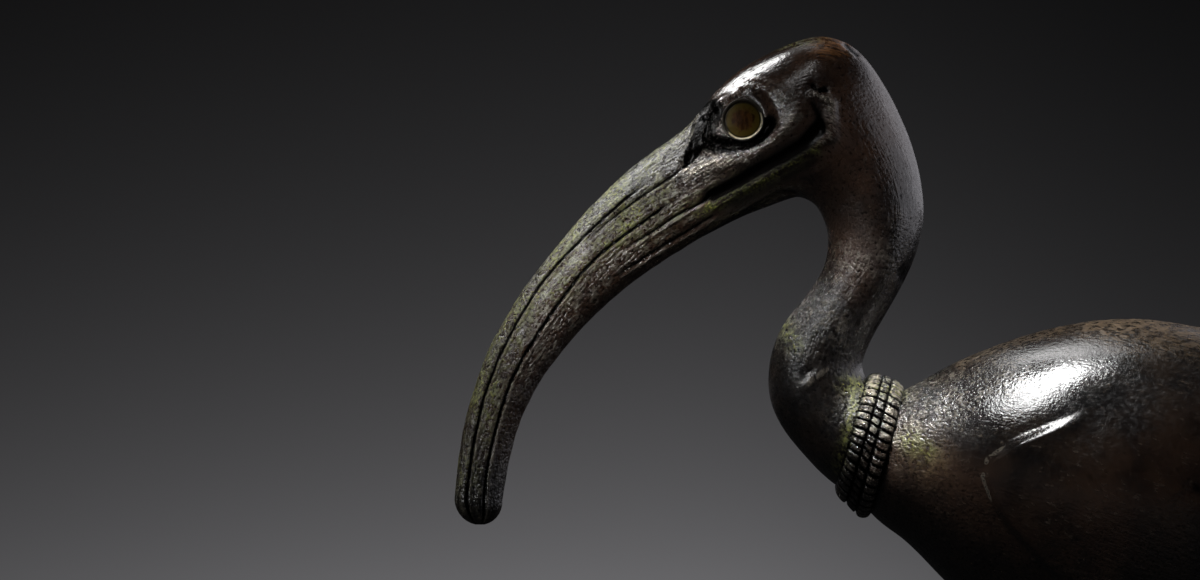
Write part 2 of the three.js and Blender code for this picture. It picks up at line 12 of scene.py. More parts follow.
import bpy
import numpy as np
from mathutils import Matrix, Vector


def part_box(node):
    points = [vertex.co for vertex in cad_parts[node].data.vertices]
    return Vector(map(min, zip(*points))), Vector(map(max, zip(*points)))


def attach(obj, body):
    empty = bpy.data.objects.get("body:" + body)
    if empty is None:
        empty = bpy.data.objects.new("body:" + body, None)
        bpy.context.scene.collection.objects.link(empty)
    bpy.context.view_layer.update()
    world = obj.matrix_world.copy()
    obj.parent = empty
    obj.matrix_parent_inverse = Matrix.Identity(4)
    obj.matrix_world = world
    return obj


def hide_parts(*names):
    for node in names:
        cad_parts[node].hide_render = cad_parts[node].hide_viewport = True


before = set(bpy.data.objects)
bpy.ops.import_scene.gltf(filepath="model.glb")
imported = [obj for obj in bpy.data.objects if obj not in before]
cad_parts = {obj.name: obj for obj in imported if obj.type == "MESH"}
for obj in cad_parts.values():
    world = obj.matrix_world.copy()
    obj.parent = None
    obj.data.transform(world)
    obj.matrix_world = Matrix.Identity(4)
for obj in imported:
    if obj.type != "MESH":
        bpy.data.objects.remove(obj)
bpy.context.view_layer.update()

# %% [markdown]
# ## A grid of squares
# The sculptors of the time drew figures on a grid of squares before they modelled the wax. The bird is
# drawn the same way here, twenty squares from its soles to its crown. One function turns squares into
# metres and stands the bird on its base. A second one reads a place off the photograph, where the same
# grid has 50 pixels to a square.

# %% Squares, metres and the photograph
figure_height = 0.200
square = figure_height / 20
base_low, base_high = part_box("low_base")
photo_zero = np.array([1190.0, 1037.0])  # the pixel over the middle of the base, at its top
photo_square = 50.0  # pixels to a square


def placed(points):
    """Squares to metres: each coordinate times the side of a square, and the height above the base's top."""
    return np.asarray(points, float) * square + np.array([0.0, 0.0, base_high.z])


def seen(*pixels):
    """Pixels to squares of the side view: (x - 1190) / 50 to the right, and (1037 - y) / 50 upwards."""
    return (np.array(pixels, float) - photo_zero) / photo_square * np.array([1.0, -1.0])


print("One square is", 1000 * square, "mm, and the base's top is at", round(1000 * base_high.z, 2), "mm")

# %% [markdown]
# ## Stations along the bird
# Bill, head and neck are one long bent form, and so is the body. A ship's hull is drawn with stations,
# and that suits both: each station gives a point on the back line, the point across from it on the
# front line, and the width between the two sides. A smooth curve through the stations gives every
# section in between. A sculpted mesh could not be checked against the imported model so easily.

# %% The stations of the bill, head and neck
head_stations = {  # back point x, z, front point x, z, and width
    "bill tip": (-14.70, 10.74, -13.76, 10.74, 0.80),
    "low bill": (-14.54, 12.08, -13.52, 11.94, 0.86),
    "mid bill": (-13.80, 14.20, -12.68, 13.56, 1.00),
    "high bill": (-12.64, 15.84, -11.40, 14.90, 1.16),
    "bill base": (-11.00, 17.52, -9.92, 15.88, 1.40),
    "bill root": (-9.94, 18.34, -9.00, 16.36, 1.60),
    "forehead": (-9.56, 18.82, -8.52, 16.58, 1.84),
    "brow": (-8.96, 19.36, -8.10, 16.74, 2.12),
    "crown front": (-8.16, 19.80, -7.84, 16.80, 2.40),
    "crown": (-7.36, 20.00, -7.64, 16.74, 2.48),
    "crown back": (-6.78, 19.82, -7.52, 16.66, 2.44),
    "nape top": (-6.18, 19.14, -7.40, 16.50, 2.32),
    "nape": (-5.64, 18.06, -7.28, 16.20, 2.16),
    "throat": (-5.34, 16.80, -7.24, 15.86, 2.00),
    "upper neck": (-5.50, 15.62, -7.38, 15.28, 1.88),
    "mid neck": (-6.04, 14.54, -7.92, 14.52, 1.84),
    "low neck": (-6.46, 13.78, -8.36, 13.68, 1.84),
    "crop": (-6.56, 13.42, -8.36, 12.64, 1.88),
    "crop low": (-6.50, 13.20, -7.68, 11.60, 2.00),
    "collar front": (-6.44, 13.12, -7.12, 11.06, 2.16),
    "inside the breast": (-5.50, 12.60, -6.00, 11.00, 1.70),
}

# %% A smooth curve through stations
def line_spacing(here, there):
    """Mean of the distances along the back line, along the front line and along the middle."""
    step = there[:, :4] - here[:, :4]
    middle = (step[:, :2] + step[:, 2:]) / 2
    return sum(np.hypot(*run.T) for run in (step[:, :2], step[:, 2:], middle)) / 3


def first_spacing(here, there):
    """Difference of the stations' first numbers."""
    return there[:, 0] - here[:, 0]


def station_curve(stations, spacing=line_spacing):
    """Natural cubic spline: its second derivatives m solve
    h0 * m0 + 2 * (h0 + h1) * m1 + h1 * m2 = 6 * (rise after - rise before), and are zero at both ends."""
    rows = np.array(list(stations.values()), float)
    step = spacing(rows[:-1], rows[1:])
    inner = np.arange(1, len(rows) - 1)
    system = np.eye(len(rows))
    system[inner, inner - 1] = step[:-1]
    system[inner, inner] = 2 * (step[:-1] + step[1:])
    system[inner, inner + 1] = step[1:]
    wanted = np.zeros_like(rows)
    wanted[1:-1] = 6 * np.diff(np.diff(rows, axis=0) / step[:, None], axis=0)
    return rows, step, np.linalg.solve(system, wanted)


def at_station(curve, station):
    """A straight mix of two stations plus (a^3 - a) and (b^3 - b) times their bends."""
    rows, step, bends = curve
    low = np.clip(np.floor(station).astype(int), 0, len(rows) - 2)
    b = (station - low)[:, None]
    a = 1 - b
    bend = (a ** 3 - a) * bends[low] + (b ** 3 - b) * bends[low + 1]
    return a * rows[low] + b * rows[low + 1] + bend * step[low, None] ** 2 / 6


head_curve = station_curve(head_stations)
print("The bill, head and neck have", len(head_stations), "stations over",
      round(sum(head_curve[1]), 1), "squares")

# %% [markdown]
# ## From a station to a ring of points
# A section of the bird is close to an ellipse that stands between its back and front points. Carving
# moves a point outwards or inwards along the ellipse's own normal, so every groove and ridge below is
# just a number of squares added there.

# %% Rings of points
def section_points(rungs, angles, egg=0.0, rise=0.0):
    """Ellipse between the back and front point: middle + up * cos(angle), and sideways
    width / 2 * sin(angle) * (1 + egg * cos(angle)). The angle is 0 at the back and half a turn at the
    front, and rise moves the point along (cos / half height, sin / half width), made one long."""
    back_x, back_z, front_x, front_z, width = (rungs[:, i, None] for i in range(5))
    up_x, up_z = (back_x - front_x) / 2, (back_z - front_z) / 2
    half_height = np.hypot(up_x, up_z)
    cos, sin = np.cos(angles), np.sin(angles)
    out_up, out_side = cos / half_height, 2 * sin / width
    steepness = np.hypot(out_up, out_side)
    reach = (half_height * cos + rise * out_up / steepness) / half_height
    across = width / 2 * sin * (1 + egg * cos) + rise * out_side / steepness
    middle_x, middle_z = (back_x + front_x) / 2, (back_z + front_z) / 2
    return np.stack([middle_x + up_x * reach, across, middle_z + up_z * reach], -1)


def ring_places(*stretches):
    """Stations of the rings: each stretch (first, last, rings) divided evenly, then the last station."""
    parts = [np.linspace(first, last, rings, endpoint=False) for first, last, rings in stretches]
    return np.concatenate([*parts, [float(stretches[-1][1])]])


def rung_heights(rungs):
    """Length of each rung, from its back point to its front point."""
    return np.hypot(rungs[:, 0] - rungs[:, 2], rungs[:, 1] - rungs[:, 3])


# %% [markdown]
# ## Helpers for carving
# Carving needs three things: a soft step, the distance from a drawn line, and a slow unevenness, as a
# hand leaves it in wax. The unevenness is a lattice of random numbers, blended smoothly between its
# points, with a fixed seed so that each run gives the same figure.

# %% Soft steps and drawn lines
def smooth(value, low, high):
    """Soft step from 0 at low to 1 at high: t * t * (3 - 2 * t)."""
    t = np.clip((value - low) / (high - low), 0, 1)
    return t * t * (3 - 2 * t)


def bump(distance, half_width):
    """A round ridge or groove: exp(-(distance / half width)^2)."""
    return np.exp(-((distance / half_width) ** 2))


def lasting(stations, begins, begun, fades, faded):
    """A form's strength: it comes in between two stations and goes out between two others."""
    return (smooth(stations, begins, begun) * (1 - smooth(stations, fades, faded)))[:, None]


def distance_to_path(points, path):
    """Shortest distance from each point to the stretches of a broken line, in two or three dimensions."""
    nearest = np.full(points.shape[:-1], np.inf)
    for corner, run in zip(path[:-1], np.diff(path, axis=0)):
        offset = points - corner
        share = np.clip(offset @ run / (run @ run), 0, 1)
        nearest = np.minimum(nearest, np.linalg.norm(offset - share[..., None] * run, axis=-1))
    return nearest


def drawn(forms, side_view):
    """Sum of rise * bump(distance from the drawn line, half width) over forms (rise, half width, places)."""
    return sum(rise * bump(distance_to_path(side_view, seen(*pixels)), half_width)
               for rise, half_width, *pixels in forms)


# %% Unevenness
lattice_side = 32
lattice = np.random.default_rng(7).uniform(-1, 1, (lattice_side,) * 3)


def unevenness(points, size):
    """Random numbers on a lattice with cells of this size, blended with soft steps along x, y and z."""
    corner = np.floor(points / size).astype(int)
    part = smooth(points / size - corner, 0, 1)
    total = np.zeros(points.shape[:-1])
    for step in np.ndindex(2, 2, 2):
        i, j, k = np.moveaxis((corner + step) % lattice_side, -1, 0)
        total += np.prod(np.where(step, part, 1 - part), axis=-1) * lattice[i, j, k]
    return total


# %% [markdown]
# ## The bill
# Long lines run down the bill: a groove below its ridge, the mouth, and shorter ones towards the face. In
# the photograph each is a dark cut with a bright edge just under it, so the chisel left a small burr
# there. The lines are drawn in the side view, through places read off the photograph, and a point's
# distance to the drawn line gives the depth of the cut.

# %% The grid of the bill, head and neck
head_station = ring_places((0, 1, 24), (1, 2, 36), (2, 3, 34), (3, 4, 40), (4, 5, 26), (5, 6, 20),
                           (6, 11, 105), (11, 15, 40), (15, 19, 32), (19, 20, 4))
head_columns = 140
side_crowding = 0.16  # the columns gather at the sides, where the carving is
turn = 2 * np.pi * np.arange(head_columns) / head_columns
head_angles = (turn + side_crowding * np.sin(2 * turn))[None, :]
head_rungs = at_station(head_curve, head_station)
head_plain = section_points(head_rungs, head_angles)
head_side_view = head_plain[..., [0, 2]]
print("The head's grid has", len(head_station), "rings of", head_columns, "points")

# %% Lines carved along the bill
bill_lines = {  # depth, half width, burr, the end that fades, and places
    "upper groove": (0.06, 0.036, 0.022, -1, (466, 508), (468, 480), (474, 440), (483, 398), (497, 360),
        (516, 322), (540, 284), (566, 254), (596, 224), (628, 196), (662, 170)),
    "line from the eye": (0.045, 0.034, 0.02, 0, (572, 254), (604, 224), (640, 197), (668, 179), (686, 165),
        (697, 155)),
    "mouth": (0.055, 0.034, 0.022, -1, (484, 500), (487, 470), (494, 438), (502, 408), (511, 382),
        (524, 356), (542, 328), (557, 306), (568, 291), (580, 275), (600, 254), (622, 237), (645, 221),
        (668, 204), (692, 191)),
    "second line of the mouth": (0.045, 0.034, 0.026, 0, (604, 262), (625, 249), (650, 234), (675, 217),
        (702, 203), (708, 199)),
    "line of the lower bill": (0.042, 0.036, 0.026, 0, (598, 290), (620, 274), (642, 260), (662, 247),
        (690, 231), (712, 217)),
    "lower edge": (0.03, 0.036, -0.024, 0, (660, 263), (690, 246), (727, 222), (745, 212), (760, 203),
        (772, 195), (782, 191), (794, 192)),
}
burr_offset = 0.065 * np.array([0.79, -0.61])  # down and away from the bill's back
fading_length = 1.0


def carved_line(side_view, depth, half_width, burr, end, *pixels):
    """A cut, -depth * bump(distance), and a burr, burr * bump(distance to the line moved to its lower side).
    Both come in over a length from the end that fades."""
    path = seen(*pixels)
    cut = depth * bump(distance_to_path(side_view, path), half_width)
    raised = burr * bump(distance_to_path(side_view, path + burr_offset), half_width)
    return (raised - cut) * smooth(np.linalg.norm(side_view - path[end], axis=-1), 0, fading_length)


bill_relief = sum(carved_line(head_side_view, *form) for form in bill_lines.values())
bill_relief = bill_relief * lasting(head_station, -2, -1, 8.0, 9.0)
print("The bill's carving:", round(bill_relief.min(), 3), "to", round(bill_relief.max(), 3), "squares")

# %% [markdown]
# ## The face
# A thin raised rim closes the feathered forehead off from the bill, and a deep hollow lies behind it.
# Under the eye runs a soft lid, below that a dark hollow, and behind the eye an ear is marked by a rough
# crescent. They are drawn in the side view, so both cheeks get the same carving.

# %% Rims, lids and hollows
face_lines = {  # rise, half width, and places
    "forehead rim": (0.04, 0.075, (700, 118), (696, 126), (691, 138), (686, 150), (678, 161)),
    "edge of the bill's root": (-0.045, 0.045, (693, 125), (689, 134), (684, 146), (677, 158), (666, 168)),
    "hollow before the eye": (-0.1, 0.1, (714, 108), (706, 121), (701, 136), (695, 149), (687, 161)),
    "lower lid": (0.06, 0.15, (684, 178), (702, 168), (722, 162), (741, 158), (758, 151), (772, 142),
        (785, 130), (796, 117)),
    "cheek hollow": (-0.075, 0.14, (712, 197), (738, 184), (760, 170), (785, 157), (803, 146), (816, 132)),
    "jaw ridge": (0.016, 0.11, (690, 221), (703, 213), (722, 200), (742, 188), (762, 178), (781, 167),
        (801, 155), (816, 146), (828, 136)),
    "hollow under the jaw": (-0.035, 0.12, (735, 205), (762, 192), (790, 176), (815, 162)),
    "wrinkle above the eye": (0.018, 0.045, (735, 88), (748, 86), (760, 88), (770, 93)),
    "second wrinkle": (0.016, 0.045, (742, 81), (756, 79), (770, 83), (781, 91), (788, 99)),
    "third wrinkle": (0.01, 0.05, (752, 73), (768, 74), (783, 82), (793, 91)),
    "ear crescent": (0.028, 0.075, (828, 100), (833, 106), (831, 113), (834, 119), (831, 126), (833, 131),
        (828, 138)),
    "lip of the ear": (0.035, 0.05, (814, 94), (820, 98), (829, 97)),
    "ear pit": (-0.055, 0.055, (812, 86), (815, 89)),
    "second ear pit": (-0.06, 0.05, (820, 91), (824, 89), (826, 91)),
    "hollow before the ear": (-0.035, 0.1, (812, 104), (818, 114), (820, 128)),
}
on_the_head = lasting(head_station, 4.2, 4.6, 11.5, 12.5)  # the neck shares places of the side view
face_relief = drawn(face_lines.values(), head_side_view) * on_the_head
print("The face's carving:", round(face_relief.min(), 3), "to", round(face_relief.max(), 3), "squares")

# %% [markdown]
# ## Age
# Two and a half thousand years have left a notch on the crown, a scar on the front of the neck and a
# place low on the nape where the patina has flaked off with a sharp edge. They are on the side that the
# photograph shows. Under all this the skin is slightly uneven, coarser on the bill, where corrosion has
# eaten it.

# %% Inside a closed outline
def inside_outline(points, outline):
    """True where a line to the right of the point crosses the closed outline an odd number of times."""
    inside = np.zeros(points.shape[:-1], bool)
    for here, there in zip(outline, np.roll(outline, -1, axis=0)):
        between = (here[1] > points[..., 1]) != (there[1] > points[..., 1])
        slope = (there[0] - here[0]) / (there[1] - here[1] or 1)
        inside ^= between & (points[..., 0] < here[0] + (points[..., 1] - here[1]) * slope)
    return inside


def depth_inside(points, outline):
    """Distance to a closed outline, above zero inside it and below zero outside."""
    closed = np.vstack([outline, outline[:1]])
    return distance_to_path(points, closed) * np.where(inside_outline(points, outline), 1, -1)


# %% Chips, scars and unevenness of the head
head_marks = {
    "notch on the crown": (-0.055, 0.055, (846, 44), (851, 50), (856, 54)),
    "lip of the notch": (0.035, 0.035, (848, 52), (853, 56)),
    "scar on the neck": (0.03, 0.06, (806, 384), (816, 376), (826, 370)),
    "scratch by the scar": (-0.03, 0.05, (800, 378), (812, 368)),
}
flaked_outline = seen((896, 270), (904, 262), (914, 264), (922, 276), (912, 296), (903, 284), (899, 281))
flaked_depth, flaked_edge = 0.032, 0.07
flaked = smooth(depth_inside(head_side_view, flaked_outline), -flaked_edge / 2, flaked_edge / 2)
left_side = np.sin(head_angles) < 0  # the bird's left side faces the camera
coarse = 1 - smooth(head_station, 4.0, 6.0)[:, None]
slow_rise, fast_rise, coarse_rise = 0.010, 0.006, 0.008
head_uneven = (slow_rise * unevenness(head_plain, 0.9) + fast_rise * unevenness(head_plain + 50, 0.33)
               + coarse_rise * coarse * unevenness(head_plain + 90, 0.16))
head_relief = bill_relief + face_relief
head_relief += (drawn(head_marks.values(), head_side_view) - flaked_depth * flaked) * left_side
head_points = section_points(head_rungs, head_angles, rise=head_relief + head_uneven)
print("The head's own unevenness stays within", round(np.abs(head_uneven).max() * square * 1000, 2), "mm")

# %% [markdown]
# ## Room for the eye
# The gold ring needs level ground to sit in. Each eye looks a little forward and up, so the head's skin
# is drawn onto the plane of the ring inside an outline that runs down to the bill and back towards the
# ear. Pulling the skin along the eye's own axis keeps the outline sharp under the eye, and a wider step
# behind it lets the hollow run out. A round pocket for the ring is cut later, when the bird is one solid.

# %% The eyes' places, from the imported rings
eye_turn = math.radians(8)
eye_tilt = math.radians(10)
ring_radius = 0.0043  # metres, as are the next ones
ring_band = 0.0007
ring_depth = 0.0018
ring_rise = 0.00025
inlay_recess = 0.00045
inlay_dome = 0.00035


def eye_directions(side):
    """Out of the head, to the back of the head and up the head: the eye's own three directions."""
    out = np.array([-math.sin(eye_turn), side * math.cos(eye_turn) * math.cos(eye_tilt),
                    math.cos(eye_turn) * math.sin(eye_tilt)])
    up = np.array([0.0, 0.0, 1.0]) - out * out[2]
    up /= np.linalg.norm(up)
    back = np.cross(up, out)
    return out, back * np.sign(back[0]), up


def eye_middle(side):
    """The point on the head's skin that the ring turns about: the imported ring's middle, moved out to it."""
    low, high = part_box("left_eye_ring" if side < 0 else "right_eye_ring")
    return np.array((low + high) / 2) + eye_directions(side)[0] * (ring_depth - ring_rise) / 2


print("The left eye is at", [round(1000 * value, 2) for value in eye_middle(-1)], "mm")

# %% The hollow around each eye
eye_outline = seen((698, 148), (701, 132), (707, 115), (714, 105), (724, 98), (737, 94), (749, 94),
                   (758, 98), (764, 106), (768, 116), (769, 126), (765, 135), (756, 142), (744, 147),
                   (730, 149), (714, 149))
edge_widths = [  # how much wider than the hollow's own edge: behind the eye, and on the bank below it
    (0.12, 0.3, (760, 98), (768, 108), (772, 118)),
    (0.16, 0.3, (712, 151), (730, 151), (745, 148), (757, 142), (766, 135)),
]
gutter = ((713, 112), (707, 125), (705, 138), (714, 144), (730, 146), (746, 144), (759, 137), (767, 124))
hollow_edge = 0.10
level_share = 0.4  # the skin is level from this far inside the outline, in edges
hollow_depth, gutter_depth, gutter_half_width = 0.00010, 0.00090, 0.09


def with_eye_hollow(points, side):
    """The skin moves along the eye's axis onto its plane, by a soft step of the distance inside the outline,
    and sinks a little more in the gutter round the ring's front and foot."""
    out = eye_directions(side)[0]
    offset = points - eye_middle(side)
    edge = hollow_edge + drawn(edge_widths, head_side_view)
    this_side = offset @ np.array([0, side, 0]) > -ring_radius
    pull = smooth(depth_inside(head_side_view, eye_outline) / edge, -1, level_share) * this_side
    sunk = hollow_depth + drawn([(gutter_depth, gutter_half_width, *gutter)], head_side_view)
    return points - (pull * (offset @ out + sunk))[..., None] * out


head_skin = with_eye_hollow(with_eye_hollow(placed(head_points), -1), 1)
eye_shift = np.abs(head_skin - placed(head_points)).max()
print("The hollows move the skin by up to", round(1000 * eye_shift, 2), "mm")

# %% [markdown]
# ## The body
# The body is a second form with stations of its own, widest above its middle like an egg. The folded
# wing is a low plateau on its side. Its outline is known at stations too, as shares of the way from the
# back line down, and the height of each point follows from its distance to that outline, so the edge
# stays clean all the way round the wrist.

# %% The stations of the body and the wing
body_stations = {
    "inside the neck": (-6.35, 12.70, -6.95, 11.40, 1.70),
    "collar back": (-5.68, 12.96, -6.38, 10.48, 2.36),
    "breast top": (-5.00, 13.34, -5.82, 10.02, 3.00),
    "breast": (-3.80, 13.86, -4.96, 9.18, 4.10),
    "shoulder": (-2.40, 14.26, -3.90, 8.20, 5.04),
    "wing": (-0.80, 14.34, -2.60, 7.08, 5.80),
    "middle": (1.00, 14.00, -0.94, 6.14, 6.16),
    "flank": (2.80, 13.34, 1.00, 5.70, 6.00),
    "rump": (4.60, 12.40, 3.00, 6.04, 5.30),
    "low rump": (6.20, 11.38, 4.80, 6.74, 4.30),
    "tail root": (7.40, 10.50, 6.30, 7.40, 3.50),
    "tail": (8.40, 9.72, 7.70, 7.90, 2.95),
    "tail end": (9.46, 8.84, 9.10, 8.20, 2.60),
}
wing_stations = {  # body station, and shares of the upper and lower edge
    "wrist": (3.24, 0.485, 0.545),
    "bend": (3.40, 0.44, 0.60),
    "shoulder": (4.00, 0.345, 0.70),
    "covert": (4.60, 0.25, 0.75),
    "front": (5.50, 0.10, 0.79),
    "middle": (6.50, 0.02, 0.80),
    "back": (7.50, 0.01, 0.78),
    "rump": (8.50, 0.015, 0.72),
    "flight": (9.50, 0.05, 0.64),
    "tips": (10.40, 0.16, 0.55),
    "end": (11.10, 0.34, 0.46),
}
wing_first, wing_last = wing_stations["wrist"][0], wing_stations["end"][0]
body_egg = 0.1
body_curve = station_curve(body_stations)
wing_curve = station_curve(wing_stations, first_spacing)


def wing_edges(station):
    """Shares of the wing's upper and lower edge at a body station, held at its ends beyond them."""
    starts = wing_curve[0][:, 0]
    part = np.interp(station, starts, np.arange(len(starts)))
    return at_station(wing_curve, part)[:, 1:].T


def egg_at(station):
    """The egg shape comes in behind the collar and goes out along the tail."""
    return body_egg * lasting(station, 1, 3, 8, 11)


def angle_of(share):
    """The angle at which a share of the way from the back to the front is reached: arccos(1 - 2 * share)."""
    return np.arccos(np.clip(1 - 2 * share, -1, 1))


# %% The grid of the body, finer along the wing's edges
body_station = ring_places((0, 1, 5), (1, 2, 9), (2, 3, 15), (3, 4, 24), (4, 5, 20), (5, 6, 20), (6, 7, 16),
                           (7, 9, 30), (9, 12, 42))
half_columns = 75
edge_crowding = 4.0  # how much denser the columns are at an edge of the wing
crowd_width = 0.035  # in half turns
body_rungs = at_station(body_curve, body_station)
upper_share, lower_share = wing_edges(body_station)
wing_pull = lasting(body_station, 2.6, 3.2, 11.0, 11.8)


def crowded_columns(upper, lower, pull):
    """Column angles from back to front: even steps of the sum of 1 + pull * crowding * edge bumps."""
    fine = np.linspace(0, 1, 721)
    near = bump(fine - upper, crowd_width) + bump(fine - lower, crowd_width)
    running = np.concatenate([[0], np.cumsum(1 + pull * edge_crowding * (near[1:] + near[:-1]) / 2)])
    return np.pi * np.interp(np.linspace(0, running[-1], half_columns + 1), running, fine)


right_half = np.array([crowded_columns(*ring) for ring in
                       zip(angle_of(upper_share) / np.pi, angle_of(lower_share) / np.pi, wing_pull)])
body_angles = np.hstack([right_half[:, :-1], 2 * np.pi - right_half[:, :0:-1]])
body_plain = section_points(body_rungs, body_angles, egg=egg_at(body_station))
print("The body's grid has", len(body_station), "rings of", body_angles.shape[1], "points")

# %% The wing's outline as a path over the body, and its plateau
wing_rise = 0.095
wing_edge = 0.19
outline_station = np.linspace(wing_first, wing_last, 90)
outline_rungs = at_station(body_curve, outline_station)
upper_path, lower_path = (
    section_points(outline_rungs, angle_of(shares)[:, None], egg=egg_at(outline_station))[:, 0]
    for shares in wing_edges(outline_station))
one_side = np.where([False, True, False], np.abs(body_plain), body_plain)  # both sides folded on one
to_upper = distance_to_path(one_side, upper_path)
to_lower = distance_to_path(one_side, lower_path)
body_share = (1 - np.cos(body_angles)) / 2
in_wing = ((body_share > upper_share[:, None]) & (body_share < lower_share[:, None])
           & (body_station > wing_first)[:, None] & (body_station < wing_last)[:, None])
inside_wing = np.minimum(to_upper, to_lower) * np.where(in_wing, 1, -1)
ramp = np.clip(inside_wing / wing_edge + 0.5, 0, 1)
bevel = 0.75 * ramp + 0.25 * smooth(ramp, 0, 1)  # a straight slope with slightly rounded ends
slope_width, front_loss = 1.4, 0.85
upper_slope = 1 - lasting(body_station, 3.9, 4.6, 7, 9) * (1 - smooth(to_upper, 0, slope_width))
low_front = 1 - front_loss * (1 - smooth(body_station, 3.25, 3.65))[:, None]
wing_relief = wing_rise * low_front * bevel * upper_slope
print("The wing stands", wing_rise * square * 1000, "mm out of the body")

# %% [markdown]
# ## Feathers where the photograph ends
# The photograph stops behind the wing's shoulder, and all that shows of the wing is smooth. The rest is
# finished in keeping and plainer: a few long quills near the wing's tip, and three lines along the tail.

# %% Quills, tail lines, and the body's wear
quill_shares = (0.2, 0.4, 0.6, 0.8)
tail_shares = (0.22, 0.5, 0.78)
quill_depth, quill_half_width = 0.022, 0.06
wing_share = (body_share - upper_share[:, None]) / (lower_share - upper_share)[:, None]
body_marks = {
    "white nick": (-0.03, 0.06, (1190, 486), (1196, 489)),
    "upper nick": (-0.02, 0.04, (1073, 434), (1077, 437)),
    "lower nick": (-0.02, 0.04, (1083, 474), (1089, 477)),
}


def even_lines(place, width, shares):
    """Sum of bump(distance to a share of the way across a band, half width)."""
    return sum(bump((place - share) * width, quill_half_width) for share in shares)


body_heights = rung_heights(body_rungs)[:, None]
quills = even_lines(wing_share, (lower_share - upper_share)[:, None] * body_heights, quill_shares)
body_relief = wing_relief - quill_depth * (
    quills * in_wing * lasting(body_station, 7.2, 8.4, 10.6, 11.0)
    + even_lines(body_share, body_heights, tail_shares) * lasting(body_station, 11.0, 11.3, 13, 14))
body_relief = body_relief + drawn(body_marks.values(), body_plain[..., [0, 2]]) * (body_plain[..., 1] < 0)
body_slow_rise, body_fast_rise = 0.014, 0.006
body_uneven = (body_slow_rise * unevenness(body_plain, 1.3)
               + body_fast_rise * unevenness(body_plain + 50, 0.45))
body_points = section_points(body_rungs, body_angles, egg_at(body_station), body_relief + body_uneven)
body_skin = placed(body_points)
print("The wing has", len(quill_shares), "quills, and the tail", len(tail_shares), "lines")

# %% [markdown]
# ## The beaded collar
# A broad collar of three rows of beads closes the neck off from the breast. Modelling beads one by one
# would give hundreds of little solids, but in the bronze they are chased into one band. So the collar is
# one ring whose surface swells and sinks: a bar across each row for each bead, with the rows cut apart
# by two grooves.

# %% The collar
collar_stations = {
    "front edge": (-6.48, 13.16, -7.10, 11.02, 2.24),
    "front row": (-6.30, 13.21, -6.98, 10.82, 2.38),
    "front groove": (-6.16, 13.19, -6.87, 10.72, 2.41),
    "narrow row": (-6.07, 13.16, -6.78, 10.62, 2.45),
    "back groove": (-5.98, 13.12, -6.69, 10.53, 2.47),
    "back row": (-5.83, 13.02, -6.52, 10.45, 2.50),
    "back edge": (-5.72, 12.92, -6.38, 10.48, 2.42),
}
bead_rows = {"front": (1, 1.0), "narrow": (3, 0.8), "back": (5, 1.0)}  # station and height
bead_reach = 0.92  # of a row to either side, in stations
beads_around = 44
bead_rise = 0.070
bead_gap, bead_cut = 0.12, 0.9  # a cut between beads: its half width in beads, and its share of their height
bead_wander = ((0.16, 5, 1.3), (0.11, 11, 0))  # how the cuts stray: share of a bead, waves around and start
points_per_bead = 8
collar_station = np.linspace(0, 6, 37)
collar_turn = 2 * np.pi * np.arange(beads_around * points_per_bead) / (beads_around * points_per_bead)


def bead_field(stations, angles):
    """Each row is a flat bar with rounded edges, (1 - t^6)^(1/2) across it, and a cut around it takes off
    exp(-(distance to the cut / gap)^2). The cuts wander a little, because they were chased by hand."""
    wander = sum(share * np.sin(waves * angles + start) for share, waves, start in bead_wander)
    to_cut = 0.5 - np.abs((beads_around * angles / (2 * np.pi) + wander) % 1 - 0.5)
    around = 1 - bead_cut * bump(to_cut, bead_gap)
    across = sum(height * np.sqrt(1 - np.clip(np.abs(stations - middle) / bead_reach, 0, 1) ** 6)
                 for middle, height in bead_rows.values())
    return across[:, None] * around[None, :]


collar_rungs = at_station(station_curve(collar_stations), collar_station)
collar_beads = bead_field(collar_station, collar_turn)
collar_plain = section_points(collar_rungs, collar_turn[None, :])
collar_rise, collar_waves = 0.008, 0.3
collar_uneven = collar_rise * unevenness(collar_plain, collar_waves)
collar_relief = bead_rise * collar_beads + collar_uneven
collar_skin = placed(section_points(collar_rungs, collar_turn[None, :], rise=collar_relief))
print("The collar has", len(bead_rows), "rows of", beads_around, "beads")

# %% [markdown]
# ## Legs and feet
# The legs are below the photograph's edge, so they follow other bronzes of this kind: feathered thighs,
# a knuckle at the hock, thin shanks with a few ridges, and four toes flat on the base, with the left
# foot in front. A leg is a stack of level ellipses whose middle bends at the hock.

# %% The legs
leg_sections = {  # height: half length and half width
    0.0: (0.42, 0.36), 0.4: (0.36, 0.32), 0.8: (0.28, 0.27), 2.0: (0.26, 0.25), 3.2: (0.29, 0.28),
    3.5: (0.38, 0.36), 3.75: (0.44, 0.41), 4.0: (0.36, 0.35), 4.2: (0.33, 0.32), 4.5: (0.46, 0.42),
    5.0: (0.72, 0.58), 5.7: (1.04, 0.76), 6.6: (1.36, 0.88), 8.0: (1.45, 0.90),
}
hip_height, hock_height = 8.0, 3.75
hock_round = 0.2
legs = {
    "left": dict(side=-1, hip=0.5, hock=0.25, foot=-0.85),
    "right": dict(side=1, hip=1.4, hock=2.3, foot=1.95),
}
leg_spread = 1.02
ridge_height, ridge_spacing = 0.016, 0.24
leg_height = ring_places((8, 5, 14), (5, 3, 26), (3, 0, 33))
leg_turn = 2 * np.pi * np.arange(36) / 36
leg_curve = station_curve({height: (height, *size) for height, size in leg_sections.items()}, first_spacing)


